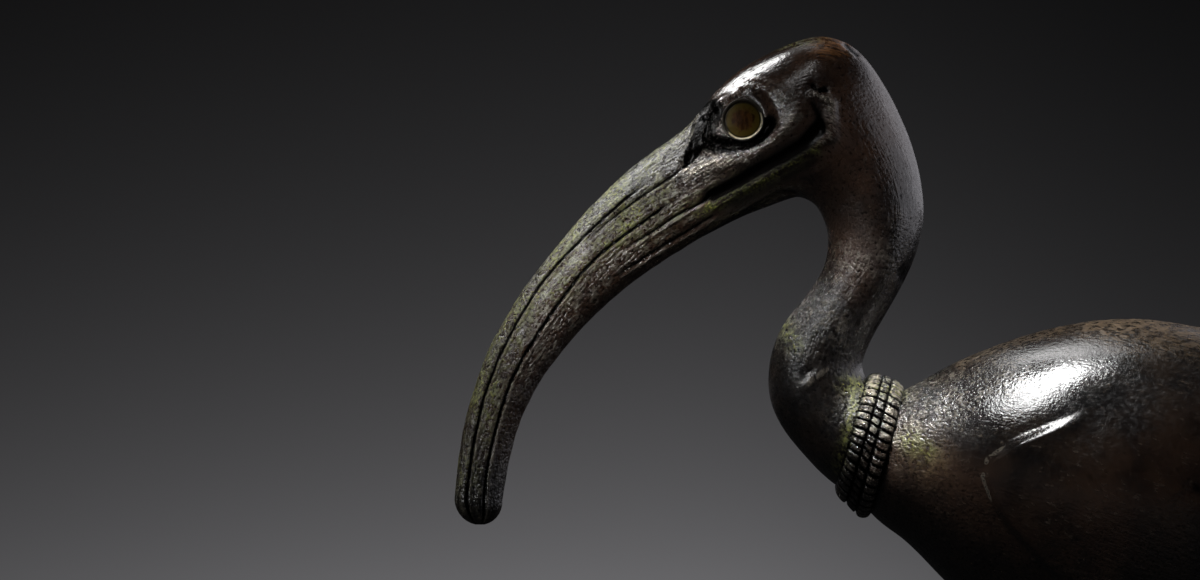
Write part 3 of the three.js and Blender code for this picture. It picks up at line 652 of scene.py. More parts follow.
def leg_skin(side, hip, hock, foot):
    """Level ellipses, half length * cos and half width * sin. Their middle bends at the hock: the mean of
    the two slopes times the height over it, plus half their difference times
    (sqrt(height^2 + round^2) - round)."""
    part = np.interp(leg_height, list(leg_sections), np.arange(len(leg_sections)))
    sizes = at_station(leg_curve, part)[:, 1:]
    above = (hip - hock) / (hip_height - hock_height)
    below = (hock - foot) / hock_height
    over = leg_height - hock_height
    bend = np.hypot(over, hock_round) - hock_round
    middle = hock + (above + below) / 2 * over + (above - below) / 2 * bend
    ridges = ridge_height * np.clip(np.sin(2 * np.pi * leg_height / ridge_spacing), 0, 1)[:, None]
    ridges = ridges * lasting(leg_height, 0.5, 0.8, 2.9, 3.3) * np.clip(-np.cos(leg_turn), 0, 1)
    across = sizes[:, :1] * np.cos(leg_turn) - ridges
    return placed(np.stack([middle[:, None] + across, side * leg_spread + sizes[:, 1:] * np.sin(leg_turn),
                            leg_height[:, None] + 0 * across], -1))


# %% The toes
toe_spread = math.radians(23)
front_toe, hind_toe = 2.35, 1.25
toe_half_width, toe_height, toe_joints = 0.21, 0.3, 3
toe_swell, toe_taper, claw_bluntness = 0.12, 0.3, 0.06
toe_share = np.linspace(0, 1, 22)[:, None]
toe_arc = np.linspace(0, np.pi, 13)[None, :]


def toe_skin(side, foot, heading, length, forward):
    """Half-round bars: width * cos and height * sin over half a turn, flat below. Their thickness is
    sqrt(1 - (1 - blunt) * share^3) * (1 - taper * share) * (1 + swell * cos(2 pi * joints * share))."""
    thick = np.sqrt(1 - (1 - claw_bluntness) * toe_share ** 3) * (1 - toe_taper * toe_share)
    thick = thick * (1 + toe_swell * np.cos(2 * np.pi * toe_joints * toe_share))
    reach = toe_share * length
    wide = toe_half_width * thick * np.cos(toe_arc)
    cos, sin = math.cos(heading), math.sin(heading)
    return placed(np.stack([foot + forward * (reach * cos - wide * sin),
                            side * leg_spread + reach * sin + wide * cos,
                            toe_height * thick * np.sin(toe_arc)], -1))


toes = [(heading, front_toe, -1) for heading in (-toe_spread, 0, toe_spread)] + [(0, hind_toe, 1)]
limb_skins = []
for leg in legs.values():
    limb_skins += [leg_skin(**leg)] + [toe_skin(leg["side"], leg["foot"], *toe) for toe in toes]
print("Legs and toes are", len(limb_skins), "closed skins")

# %% [markdown]
# ## Round ends
# The bill and the tail end in rounded tips. A few rings shrink towards a point beyond the last section,
# as on a quarter of a circle.

# %% Tips of the bill and the tail
def tip_rings(ring, direction, length, rings=7):
    """Rings that shrink with cos(t) towards the middle and move on by length * sin(t), up to 90 degrees."""
    t = (np.arange(1, rings + 1) / (rings + 1) * np.pi / 2)[:, None, None]
    middle = ring.mean(axis=0)
    return middle + (ring - middle) * np.cos(t) + np.asarray(direction) * length * square * np.sin(t)


bill_tip = tip_rings(head_skin[0], (0.06, 0, -1), 0.5)[::-1]
tail_tip = tip_rings(body_skin[-1], (0.9, 0, -0.44), 0.3)
print("The bill's lowest point is at", round(1000 * bill_tip[..., 2].min(), 1), "mm")

# %% [markdown]
# ## From grids to closed solids
# Each grid of points becomes a closed mesh: four-sided faces between the rings and a fan over each end.
# Its faces have to point outwards, so the mesh's signed volume is worked out, and the faces are turned
# round where it is negative. Numbers that the finish will need later travel with the points.

# %% A closed mesh from rings of points
def closed_mesh(name, rings, carried, tube=False):
    """Faces (i, j), (i, j+1), (i+1, j+1), (i+1, j) between the rings, and a fan from the middle of each end
    ring. The rings of a tube close up like a doughnut instead. carried holds one number, or three, for each
    point."""
    count, around = rings.shape[:2]
    i, j = np.indices((count if tube else count - 1, around))
    next_i, next_j = (i + 1) % count, (j + 1) % around
    faces = [np.stack([i * around + j, i * around + next_j, next_i * around + next_j, next_i * around + j],
                      -1).reshape(-1, 4)]
    if not tube:
        first, second, last = j[0], next_j[0], (count - 1) * around
        middle = np.full(around, count * around)
        faces += [np.stack([middle, second, first], -1),
                  np.stack([middle + 1, last + first, last + second], -1)]
    ends = slice(0, 0) if tube else slice(None)

    def with_middles(values):
        """The values of all points, then the mean of the first ring and of the last, except in a tube."""
        middles = np.stack([values[0].mean(axis=0), values[-1].mean(axis=0)]).reshape(2, -1)
        return np.concatenate([values.reshape(count * around, -1), middles[ends]])

    points = with_middles(rings)
    a, b, c = (points[faces[0][:, k]] for k in (0, 1, 2))
    order = 1 if np.einsum("ij,ij->", a - points.mean(axis=0), np.cross(b - a, c - a)) > 0 else -1
    mesh = bpy.data.meshes.new(name)
    mesh.from_pydata(points, [], [face for part in faces for face in part[:, ::order].tolist()])
    for key, values in carried.items():
        kind, place = ("FLOAT_VECTOR", "vector") if values.ndim == 3 else ("FLOAT", "value")
        attribute = mesh.attributes.new(key, kind, "POINT")
        attribute.data.foreach_set(place, with_middles(values).astype(np.float32).ravel())
    piece = bpy.data.objects.new(name, mesh)
    bpy.context.scene.collection.objects.link(piece)
    return piece


# %% [markdown]
# ## What the finish needs to know
# The patina depends on where a point is: greenish on the bill's ridge, red-brown under the flank, ochre
# along the back, glossy on the flank where hands have polished it, matt and darkened in the cheek's
# hollow as painted shade under the lid. These zones are painted here as numbers on the points. A second
# set holds the grain, the polish and the height of the carving, deepened by painted shade in some
# hollows, and a third holds a place that runs along the form, for streaks that follow the neck and bill.

# %% Zones, each spot as strength, radius and places
green_spots = [
    (0.8, 0.3, (505, 330), (560, 245), (620, 180), (690, 122)),
    (0.7, 0.4, (470, 470), (480, 400), (505, 330)),
    (0.6, 0.3, (560, 290), (610, 232), (660, 190)),
    (1.3, 0.3, (478, 400), (486, 360), (500, 330), (520, 300)),
    (1.3, 0.2, (612, 240), (630, 215)),
    (1.3, 0.2, (616, 186), (634, 166)),
    (0.4, 0.2, (640, 240), (690, 205), (740, 180)),
    (0.9, 0.11, (700, 214), (760, 184), (815, 150)),
    (1.0, 0.16, (846, 382), (858, 392), (862, 380)),
    (0.9, 0.12, (853, 400), (846, 440), (838, 470)),
    (1.1, 0.15, (782, 322), (796, 345)),
    (1.0, 0.2, (866, 386), (896, 392)),
    (0.8, 0.07, (700, 90), (760, 50), (830, 38)),
    (1.2, 0.2, (910, 440), (922, 450)),
]
red_spots = [
    (1.0, 1.6, (740, 90), (800, 80), (840, 100)),
    (1.0, 0.16, (832, 41), (843, 43)),
    (0.7, 0.9, (850, 90), (860, 150)),
    (0.9, 0.45, (848, 235), (856, 285)),
    (0.9, 0.7, (480, 430), (500, 380), (540, 310), (590, 260), (640, 235), (700, 210)),
    (0.8, 0.5, (497, 440), (520, 380), (560, 310), (600, 268), (640, 245)),
    (0.55, 1.1, (1110, 500), (1180, 470)),
    (0.4, 0.8, (900, 460), (965, 490)),
    (0.25, 1.0, (1000, 520), (1080, 560)),
]
ochre_spots = [
    (0.95, 0.26, (1085, 322), (1140, 319), (1200, 326), (1300, 352)),
    (0.6, 0.14, (960, 362), (1010, 342), (1060, 327)),
    (0.75, 0.36, (905, 440), (930, 462)),
    (2.0, 0.2, (820, 42), (842, 43)),
    (0.4, 0.3, (1110, 338), (1190, 345)),
]
polish_spots = [
    (0.8, 1.0, (1000, 400), (1060, 370), (1130, 380)),
    (1.0, 1.9, (1060, 480), (1200, 440), (1300, 420)),
    (1.0, 0.25, (735, 78), (760, 64), (785, 54)),
    (0.8, 0.6, (755, 78), (780, 72), (810, 64)),
    (0.3, 0.5, (895, 110), (910, 170), (905, 230)),
    (0.8, 0.1, (1018, 445), (1084, 409)),
    (-0.1, 0.8, (470, 500), (500, 400), (560, 300), (640, 235), (700, 190)),
    # This matt zone along the cheek's hollow is dark metal without sheen: painted shade under the lid.
    (-1.2, 0.34, (712, 200), (742, 186), (770, 168), (800, 150), (826, 132)),
    (-0.7, 0.4, (850, 215), (868, 262)),
]
grain_and_sheen_spots = [
    (0.45, 0.7, (905, 405), (950, 390), (1000, 375)),
    (1.6, 0.45, (902, 390), (908, 405), (905, 425)),
    (2.2, 0.22, (670, 150), (700, 157), (745, 153)),
    (0.4, 0.16, (755, 146), (775, 133), (790, 115)),
    (1.6, 0.6, (605, 220), (650, 190), (680, 152)),
    (0.4, 0.2, (740, 85), (770, 90), (795, 100)),
    (1.0, 0.12, (815, 95), (830, 103), (832, 135)),
    (0.6, 0.12, (690, 222), (742, 190), (781, 167), (828, 138)),
    (1.5, 0.8, (500, 350), (560, 260), (660, 160)),
    (0.6, 0.4, (520, 385), (565, 305), (610, 265), (660, 240)),
    (0.7, 0.7, (475, 480), (500, 360)),
    (0.7, 0.5, (790, 330), (830, 300), (850, 265)),
    (0.4, 0.4, (845, 340), (860, 370), (850, 420)),
    # This spot's pale dust down the lower nape is a painted reflection of the bright back.
    (0.5, 0.16, (899, 215), (894, 260), (880, 300)),
]

# %% Numbers carried by the points
def along_form(rungs, angles):
    """Place that follows the form: distance along its middle, and the section's own point, in metres."""
    middle = (rungs[:, :2] + rungs[:, 2:4]) / 2
    distance = np.concatenate([[0], np.cumsum(np.linalg.norm(np.diff(middle, axis=0), axis=1))])[:, None]
    return square * np.stack([distance + 0 * angles, rung_heights(rungs)[:, None] / 2 * np.cos(angles),
                              rungs[:, 4:] / 2 * np.sin(angles)], -1)


def carried_numbers(plain, height, rungs, angles):
    """The zones (green, red, ochre), the surface (grain, polish, height of the carving in squares) and the
    place along the form. A zone is the sum of its spots, held between -1 and 1."""
    zones = (green_spots, red_spots, ochre_spots, grain_and_sheen_spots, polish_spots)
    green, red, ochre, grain, polish = (np.clip(drawn(spots, plain[..., [0, 2]]), -1, 1) for spots in zones)
    return {"zones": np.stack([green, red, ochre], -1), "surface": np.stack([grain, polish, height], -1),
            "along": along_form(rungs, angles + 0 * height), "old": np.ones(plain.shape)}


def with_ends(carried, before=0, after=0):
    """The same numbers with the first or last ring's values repeated for the rings of a tip."""
    return {key: np.concatenate([np.repeat(values[:1], before, axis=0), values,
                                 np.repeat(values[-1:], after, axis=0)]) for key, values in carried.items()}


# %% Dirt and painted shade in the hollows, wear on the edges
# The face's broad hollows are cleaner than cuts, so its carving counts half, and in full only at the ear.
ear_places = ((815, 88), (826, 100), (831, 130))
counted_share = 0.5 + drawn([(0.5, 0.4, *ear_places)], head_side_view)
# Dirt and painted shade sit in the gutter round the eye's ring, before it and in the cheek's hollow,
# and count as depth.
dirt_and_shade_places = [
    (0.07, 0.20, *gutter),
    (0.05, 0.16, (690, 152), (698, 138), (704, 124), (712, 110)),
    (0.022, 0.28, *face_lines["cheek hollow"][2:]),
]
head_height_and_shade = (head_relief + (counted_share - 1) * face_relief
               - drawn(dirt_and_shade_places, head_side_view) * on_the_head)
head_carried = with_ends(carried_numbers(head_plain, head_height_and_shade, head_rungs, head_angles),
                         before=len(bill_tip))
# The wing's own height is left out of what the colours read, but its front edge is worn to bare metal.
worn_height, worn_outside, worn_half_width = 0.055, 0.05, 0.028
worn_edge = (worn_height * bump(inside_wing + worn_outside, worn_half_width)
             * lasting(body_station, 3.0, 3.1, 3.3, 3.5))
body_height = body_relief - wing_relief + worn_edge
body_carried = with_ends(carried_numbers(body_plain, body_height, body_rungs, body_angles),
                         after=len(tail_tip))
# The collar's beads are rubbed bare, the cuts between them are black, and pale dust clings to its coarse
# grain, less so at its foot, where thinner dust and deeper black cuts are painted shade.
shaded_collar_foot = smooth(-collar_plain[..., 2], -12.6, -11.8)
bead_contrast, bead_middle, foot_shade = 0.13, 0.7, 0.03
collar_grain, shaded_foot_grain = 5.0, 0.9
collar_height_and_shade = bead_contrast * (collar_beads - bead_middle) - foot_shade * shaded_collar_foot
collar_carried = carried_numbers(collar_plain, collar_height_and_shade, collar_rungs, collar_turn[None, :])
collar_carried["surface"][..., 0] = collar_grain * (1 - shaded_foot_grain * shaded_collar_foot)


def plain_numbers(rings, zones, surface, along):
    """The same zones and surface numbers all over, for the limbs and the base."""
    return {"zones": np.ones(rings.shape) * zones, "surface": np.ones(rings.shape) * surface, "along": along}


print("The head's darkest cut reads as", round(-head_height_and_shade.min() * square * 1000, 2), "mm deep")

# %% [markdown]
# ## One casting
# The real bird is one casting, so the closed skins are joined into one solid and the two pockets for the
# eyes are cut. The Manifold solver of the Boolean modifier is exact on closed meshes and keeps the
# carried numbers, except on the new points along a seam, which take the mean of their neighbours.

# %% Joining and cutting
def turned(profile, side, around):
    """Profile points (radius, height) turned about the eye's axis:
    middle + out * height + radius * (cos, sin) across it."""
    out = eye_directions(side)[0]
    across = np.cross(out, [0.0, 0.0, 1.0])
    across /= np.linalg.norm(across)
    t = (2 * np.pi * np.arange(around) / around)[None, :, None]
    radius, height = (np.array(profile, float)[:, k, None, None] for k in (0, 1))
    circle = across * np.cos(t) + np.cross(out, across) * np.sin(t)
    return eye_middle(side) + out * height + radius * circle


def combined(piece, others, operation):
    """Joins other pieces to the piece or cuts them from it, and leaves it as a plain mesh without them."""
    for other in others:
        step = piece.modifiers.new(operation, "BOOLEAN")
        step.operation = operation
        step.solver = "MANIFOLD"
        step.object = other
    bpy.context.view_layer.update()
    result = bpy.data.meshes.new_from_object(piece.evaluated_get(bpy.context.evaluated_depsgraph_get()))
    piece.modifiers.clear()
    piece.data = result
    for other in others:
        bpy.data.objects.remove(other)


ibis = closed_mesh("ibis_bronze", np.concatenate([bill_tip, head_skin]), head_carried)
parts = [closed_mesh("body", np.concatenate([body_skin, tail_tip]), body_carried),
         closed_mesh("collar", collar_skin, collar_carried)]
limb_surface = (0.3, 0.2, 0.0)
for rings in limb_skins:
    numbers = plain_numbers(rings, 0.0, limb_surface, rings[..., [2, 0, 1]])
    parts.append(closed_mesh("limb", rings, numbers | {"old": np.ones(rings.shape)}))
combined(ibis, parts, "UNION")
pocket_gap, pocket_around = 0.00003, 96
pocket_radius, pocket_depth = ring_radius + pocket_gap, ring_depth + pocket_gap
pocket_profile = [(pocket_radius, -pocket_depth), (pocket_radius, pocket_depth)]
pockets = [closed_mesh("pocket", turned(pocket_profile, side, pocket_around), {}) for side in (-1, 1)]
combined(ibis, pockets, "DIFFERENCE")
print("The bird is one mesh of", len(ibis.data.polygons), "faces")

# %% [markdown]
# ## Mending the numbers along the seams
# The new points along a seam carry nothing. A number that is one on every old point shows which they are,
# and each takes the mean of the neighbours that already have their numbers, round by round.

# %% Numbers for the new points
def read_vectors(mesh, key):
    """An attribute's vectors as an array with a row for each point."""
    flat = np.empty(3 * len(mesh.vertices), np.float32)
    mesh.attributes[key].data.foreach_get("vector", flat)
    return flat.reshape(-1, 3).astype(float)


def mend_seams(mesh, keys, old_key):
    """Where old_key is not one, every other key becomes the mean over the edges to points that have it."""
    edges = np.empty(2 * len(mesh.edges), np.int32)
    mesh.edges.foreach_get("vertices", edges)
    edges = edges.reshape(-1, 2)
    both_ways = np.vstack([edges, edges[:, ::-1]])
    has = read_vectors(mesh, old_key)[:, 0] > 0.999
    values = np.hstack([read_vectors(mesh, key) for key in keys])
    new_points = int((~has).sum())
    while not has.all():
        ways = both_ways[has[both_ways[:, 0]] & ~has[both_ways[:, 1]]]
        counts = np.bincount(ways[:, 1], minlength=len(has))
        sums = np.stack([np.bincount(ways[:, 1], column[ways[:, 0]], len(has)) for column in values.T], -1)
        fill = counts > 0
        values[fill] = sums[fill] / counts[fill, None]
        has = has | fill
    for k, key in enumerate(keys):
        mended = values[:, 3 * k:3 * k + 3].astype(np.float32)
        mesh.attributes[key].data.foreach_set("vector", mended.ravel())
    mesh.attributes.remove(mesh.attributes[old_key])
    return new_points


print("Points mended along the seams:", mend_seams(ibis.data, ["zones", "surface", "along"], "old"))

# %% [markdown]
# ## Smooth shading with crisp seams
# A cast surface is smooth, but a corner between two forms stays sharp. Faces are shaded smoothly, and
# edges where they meet at a steep angle are marked sharp.

# %% Shading
crisp_angle = math.radians(48)


def shade(piece):
    """Smooth faces, with edges steeper than the crisp angle kept sharp."""
    piece.data.polygons.foreach_set("use_smooth", np.ones(len(piece.data.polygons), bool))
    piece.data.set_sharp_from_angle(angle=crisp_angle)
    return piece


shade(ibis)
print("Edges steeper than", round(math.degrees(crisp_angle)), "degrees are sharp")

# %% [markdown]
# ## The eyes
# Each eye is two pieces of their own: a gold ring and an inlay of amber-brown glass, sunk into it. Their
# packed stand-ins have few faces, so finer ones take their places, with the same sizes. The ring's
# mouth slopes inwards, which is why its lower half catches the light from above.

# %% Rings and inlays
ring_lip = ring_band / 4
inlay_gap = 0.00002
ring_around, inlay_around = 144, 72
seat = ring_rise - inlay_recess  # the height at which the inlay meets the ring
mouth_share, mouth_bulge = 0.45, 0.00003  # where the mouth bends, and how far it stands up there
ring_dent, dent_size = 0.00003, 0.16
# The gold is painted bright on the lower back of the mouth, where the light falls, as painted light.
lit_gold_back, lit_gold_down = 0.55, 0.84  # the gold shows along the lower back


def eye_ring(name, side):
    """A band between two radii: a straight outer wall, a small rounded lip, and a mouth that slopes in to
    the inlay. It carries how much bright gold is painted: most along the lower back of the mouth, where the
    light falls, and none on the lip or above, which are left to dirt and painted shade."""
    inner = ring_radius - ring_band
    lip_turn = np.linspace(0, np.pi / 2, 5)
    lip = [(ring_radius - ring_lip + ring_lip * math.cos(t), ring_rise - ring_lip + ring_lip * math.sin(t))
           for t in lip_turn]
    profile = [(inner, seat), (inner, -ring_depth), (ring_radius, -ring_depth), *lip,
               (inner + (ring_band - ring_lip) * mouth_share, (ring_rise + seat) / 2 + mouth_bulge)]
    points = turned(profile, side, ring_around)
    out, back, up = eye_directions(side)
    dents = ring_dent * unevenness(points / square, dent_size)
    towards_lit_side = (points - eye_middle(side)) @ (lit_gold_back * back - lit_gold_down * up) / ring_radius
    worn_and_lit_gold = smooth(towards_lit_side, -0.10, 0.45)
    radius = np.array(profile)[:, :1]
    inwards = smooth(radius, ring_radius - ring_lip * 1.4, ring_radius - ring_lip * 2.4)
    return closed_mesh(name, points + dents[..., None] * out, {"worn_and_lit_gold": worn_and_lit_gold * inwards}, tube=True)


def eye_inlay(name, side):
    """A low dome, height = seat + dome * (1 - r^2), on a straight wall, with r carried for its colours."""
    inner = ring_radius - ring_band - inlay_gap
    shares = np.concatenate([[1], np.linspace(1, 0.04, 16)])
    heights = seat + inlay_dome * (1 - shares ** 2)
    heights[0] = -ring_depth
    points = turned(np.column_stack([inner * shares, heights]), side, inlay_around)
    return closed_mesh(name, points, {"radius": shares[:, None] + np.zeros(points.shape[:2])})


eyes = {}
for name, side in (("left", -1), ("right", 1)):
    eyes[name] = {"ring": shade(eye_ring(f"{name}_gold_ring", side)),
                  "inlay": shade(eye_inlay(f"{name}_amber_inlay", side))}
print("The eyes have", sum(len(pair) for pair in eyes.values()), "pieces")

# %% [markdown]
# ## The low base
# The base is a plain cast slab. Its packed form is exact but perfectly straight, and a real one has
# edges rounded by handling and a top that is never quite flat. It is drawn as one outline of a
# rounded rectangle, which climbs the side and then shrinks towards the middle of the top.

# %% The base
base_half = np.array([(base_high.x - base_low.x) / 2, (base_high.y - base_low.y) / 2])
base_corner = 0.0012
base_round = 0.0009
base_around = 320
inmost_share = 0.98  # how far towards the middle the innermost rings reach
side_dent, top_dent = 0.00012, 0.00008


def rounded_plan(inset):
    """A rectangle with round corners, as evenly spaced points: quarter arcs joined by straight lines."""
    half = base_half - inset
    corner = min(base_corner, 0.6 * half.min())
    t = (np.linspace(0, np.pi / 2, 9) + np.arange(4)[:, None] * np.pi / 2)[..., None]
    quarters = np.array([(1, 1), (-1, 1), (-1, -1), (1, -1)])[:, None]
    arcs = corner * np.concatenate([np.cos(t), np.sin(t)], -1)
    outline = (quarters * (half - corner) + arcs).reshape(-1, 2)
    outline = np.vstack([outline, outline[:1]])
    along = np.concatenate([[0], np.cumsum(np.linalg.norm(np.diff(outline, axis=0), axis=1))])
    places = np.linspace(0, along[-1], base_around, endpoint=False)
    return np.stack([np.interp(places, along, outline[:, k]) for k in (0, 1)], -1)


def base_rings():
    """Rings (inset, height) from the middle of the underside, out, up round the edge and in over the top."""
    quarter = np.linspace(0, np.pi / 2, 6)[1:]
    height = base_high.z - base_low.z
    inmost = base_half[1] * inmost_share
    steps = [(inset, 0) for inset in np.linspace(inmost, base_round, 6)]
    steps += [(base_round * (1 - math.sin(t)), base_round * (1 - math.cos(t))) for t in quarter]
    steps += [(0, z) for z in np.linspace(base_round, height - base_round, 14)[1:]]
    steps += [(base_round * (1 - math.cos(t)), height - base_round * (1 - math.sin(t))) for t in quarter]
    steps += [(inset, height) for inset in np.linspace(base_round, inmost, 22)[1:]]
    rings = np.array([np.column_stack([rounded_plan(inset), np.full(base_around, z)]) for inset, z in steps])
    dent = np.abs(unevenness(rings / square, 0.9) + 0.5 * unevenness(rings / square + 40, 0.3))[..., None]
    level = rings[..., 2:]
    inward = -np.sign(rings) * [1, 1, 0] * (level < height - base_round / 2)
    down = np.array([0, 0, -1]) * (level > height - base_round)
    not_underneath = level > base_round / 2
    rings = rings + not_underneath * dent * (inward * side_dent + down * top_dent)
    return rings + np.array([(base_high.x + base_low.x) / 2, (base_high.y + base_low.y) / 2, base_low.z])


base_points = base_rings()
base_zones, base_surface = (0.25, 0.35, 0.30), (0.5, 0.1, 0.0)
base_numbers = plain_numbers(base_points, base_zones, base_surface, base_points)
base = shade(closed_mesh("bronze_base", base_points, base_numbers))
print("The base is one mesh of", len(base.data.polygons), "faces")

# %% [markdown]
# ## Building materials from nodes
# A finish is a small network: noises give patterns, soft steps turn them into masks, and mixes lay one
# colour over another. A few little helpers keep the recipes short. A socket knows the tree that it is in,
# so each new node goes where its inputs are.

# %% Helpers for materials
def feed(node, inputs):
    """Each input takes a value or another node's output socket."""
    for key, value in inputs.items():
        if isinstance(value, bpy.types.NodeSocket):
            node.id_data.links.new(value, node.inputs[key])
        else:
            node.inputs[key].default_value = value


def add_node(beside, kind, inputs, **settings):
    """A node in the tree of another node or socket, with its settings and inputs."""
    node = beside.id_data.nodes.new(kind)
    for name, value in settings.items():
        setattr(node, name, value)
    feed(node, inputs)
    return node


def calculated(operation, first, *others):
    """One operation on two or more values, from left to right."""
    for other in others:
        first = add_node(first, "ShaderNodeMath", {0: first, 1: other}, operation=operation).outputs[0]
    return first


def plus(*values):
    """The values' sum."""
    return calculated("ADD", *values)


def times(*values):
    """The values' product."""
    return calculated("MULTIPLY", *values)


def largest(*values):
    """The largest of the values."""
    return calculated("MAXIMUM", *values)


def mask(value, low, high, start=0.0, end=1.0):
    """A soft step of a value, from start at low to end at high."""
    inputs = {"Value": value, "From Min": low, "From Max": high, "To Min": start, "To Max": end}
    return add_node(value, "ShaderNodeMapRange", inputs, interpolation_type="SMOOTHSTEP").outputs[0]


def laid_over(share, under, over):
    """Colour over laid on colour under, as far as share says."""
    return add_node(share, "ShaderNodeMix", {0: share, 6: under, 7: over}, data_type="RGBA").outputs[2]


def noise(place, scale, detail=3.0, roughness=0.55, seed=0.0):
    """Smooth noise at so many waves to a metre."""
    inputs = {"Vector": place, "Scale": scale, "Detail": detail, "Roughness": roughness, "W": seed}
    return add_node(place, "ShaderNodeTexNoise", inputs, noise_dimensions="4D").outputs["Fac"]


def stretched(place, shares):
    """The place with each direction shortened to its share, which draws a noise out along it."""
    return add_node(place, "ShaderNodeMapping", {"Vector": place, "Scale": shares}).outputs[0]


def bumped(height, distance):
    """The surface's normal, bent by a height that stands for this many metres."""
    return add_node(height, "ShaderNodeBump", {"Height": height, "Distance": distance}).outputs[0]


def carried_by(shader, key, output="Vector"):
    """What the points carry under this name."""
    return add_node(shader, "ShaderNodeAttribute", {}, attribute_name=key).outputs[output]


def own_place(shader):
    """The object's own coordinates."""
    return add_node(shader, "ShaderNodeTexCoord", {}).outputs["Object"]


def split(vector):
    """A vector's three numbers."""
    return add_node(vector, "ShaderNodeSeparateXYZ", {0: vector}).outputs


def new_material(name):
    """A material with nothing but its Principled shader."""
    material = bpy.data.materials.new(name)
    material.use_nodes = True
    material.node_tree.nodes.clear()
    shader = material.node_tree.nodes.new("ShaderNodeBsdfPrincipled")
    add_node(shader, "ShaderNodeOutputMaterial", {"Surface": shader.outputs[0]})
    return material, shader


# %% [markdown]
# ## The bronze
# Old polished bronze is not brown all over. A near-black skin of copper oxide lies over a red-brown one,
# ochre earth sits along the back, and pale green and yellow-green salts are caught in the bill's grain
# and round the collar. Pits and cuts are black and hardly shine, rubbed ridges are bare metal, and the
# grain breaks every highlight up into sparks. So the colours are laid over each other with broken masks,
# the grain is bump at three sizes, from about 0.6 to 1.2 mm, and pits and ridges have the shader's metal:
# a black metal has no grey haze, and a pale one glints. Old wax lies over it all as a thin clear coat.

# %% The bronze's colours
black_skin = (0.0065, 0.0058, 0.0060, 1)
brown_skin = (0.022, 0.0155, 0.0115, 1)
red_skin = (0.072, 0.036, 0.021, 1)
ochre_earth = (0.150, 0.094, 0.042, 1)
rust_earth = (0.420, 0.165, 0.035, 1)
green_salt = (0.155, 0.165, 0.045, 1)
yellow_salt = (0.30, 0.30, 0.06, 1)
pale_dust_and_sheen = (0.330, 0.300, 0.245, 1)
worn_skin = (0.085, 0.065, 0.050, 1)
pit_black = (0.004, 0.0035, 0.0032, 1)
bare_bronze = (0.42, 0.37, 0.30, 1)
grain_depth = 0.00028  # metres


def bronze_colour(place, zones, surface, grit, strokes):
    """Black over brown by a slow noise, then red-brown, earth, dust and green where their zones and a noise
    agree, then black in the cuts and pits, and bare metal on the ridges. It gives the colour, how dull the
    salts and earth make it, and how far it is metal: in pits, on rubbed ridges and in the matt zones."""
    green, red, ochre = zones
    grain, polish, carving = surface
    slow = noise(place, 110, 5, 0.65)
    spotted = noise(place, 600, 4, 0.65, 3)
    streaked = plus(spotted, strokes)
    broken = times(plus(streaked, spotted, grit), 0.5)
    colour = laid_over(mask(slow, 0.38, 0.66), black_skin, brown_skin)
    colour = laid_over(times(red, mask(slow, 0.30, 0.62, 0.35)), colour, red_skin)
    colour = laid_over(mask(streaked, 1.08, 1.32, 0.0, 0.6), colour, worn_skin)
    earth = times(ochre, mask(streaked, 0.88, 1.14, 0.10, 1.0))
    colour = laid_over(earth, colour, laid_over(mask(red, 0.8, 1.0), ochre_earth, rust_earth))
    # Pale dust, which down the lower nape is a painted reflection of the bright back.
    dust = times(grain, mask(broken, 0.96, 1.18, 0.0, 0.8), mask(slow, 0.42, 0.58, 0.45, 1.05))
    colour = laid_over(dust, colour, pale_dust_and_sheen)
    green = times(green, mask(slow, 0.38, 0.54, 0.35, 1.2))
    salt = times(green, mask(broken, 0.88, 1.14))
    colour = laid_over(salt, colour, green_salt)
    colour = laid_over(times(green, green, mask(grit, 0.54, 0.66)), colour, yellow_salt)
    specks = times(mask(grit, 0.45, 0.32, 0.0, 0.7), mask(polish, 0, 1, 1.0, 0.35))
    # The carving's height also holds painted shade in the face's hollows and at the collar's foot, which
    # turns black here.
    pits = largest(specks, mask(carving, -0.006, -0.040))
    rubbed = times(mask(carving, 0.006, 0.032, 0.0, 0.9), mask(strokes, 0.36, 0.60),
                   mask(polish, -0.9, -0.5))
    colour = laid_over(rubbed, laid_over(pits, colour, pit_black), bare_bronze)
    return colour, largest(salt, earth), largest(pits, rubbed, mask(polish, -0.35, -1, 0, 0.7))


def bronze_grain(place, surface, grit, strokes):
    """Bump of three noises: pebbles of about 1.2 mm, the grit and the strokes, strong where the grain is
    coarse. Polish calms them all."""
    grain, polish = surface[:2]
    pebbles = times(noise(place, 800, 3, 0.6, 1), mask(grain, 0, 1, 0.34, 0.9))
    grit = times(grit, mask(grain, 0, 1, 0.40, 1.6))
    strokes = times(strokes, mask(grain, 0, 1, 0.60, 2.0))
    return bumped(times(plus(pebbles, grit, strokes), mask(polish, 0, 1, 1.0, 0.38)), grain_depth)


# %% The bronze
def bronze(name, dullness):
    """Patina, glossier where it is polished, and duller in the matt zones and where salts and earth sit.
    Grit of about 0.6 mm and strokes drawn out along the form are noises that colour and bump both follow."""
    material, shader = new_material(name)
    place = own_place(shader)
    zones, surface = split(carried_by(shader, "zones")), split(carried_by(shader, "surface"))
    grit = noise(place, 1700, 2, 0.55, 2)
    strokes = noise(stretched(carried_by(shader, "along"), (0.2, 1, 1)), 1800, 2, 0.6, 4)
    colour, dull, bare = bronze_colour(place, zones, surface, grit, strokes)
    polish = surface[1]
    rough = plus(mask(noise(place, 900, 3, 0.6, 6), 0.35, 0.70, 0.22 + dullness, 0.34 + dullness),
                 mask(polish, 0, 1, 0, -0.10), mask(polish, 0, -1, 0, 0.30), times(dull, 0.22))
    feed(shader, {"Base Color": colour, "Metallic": bare, "Roughness": rough,
                  "Normal": bronze_grain(place, surface, grit, strokes),
                  "IOR": 1.9, "Coat Weight": 0.15, "Coat Roughness": 0.22})
    return material


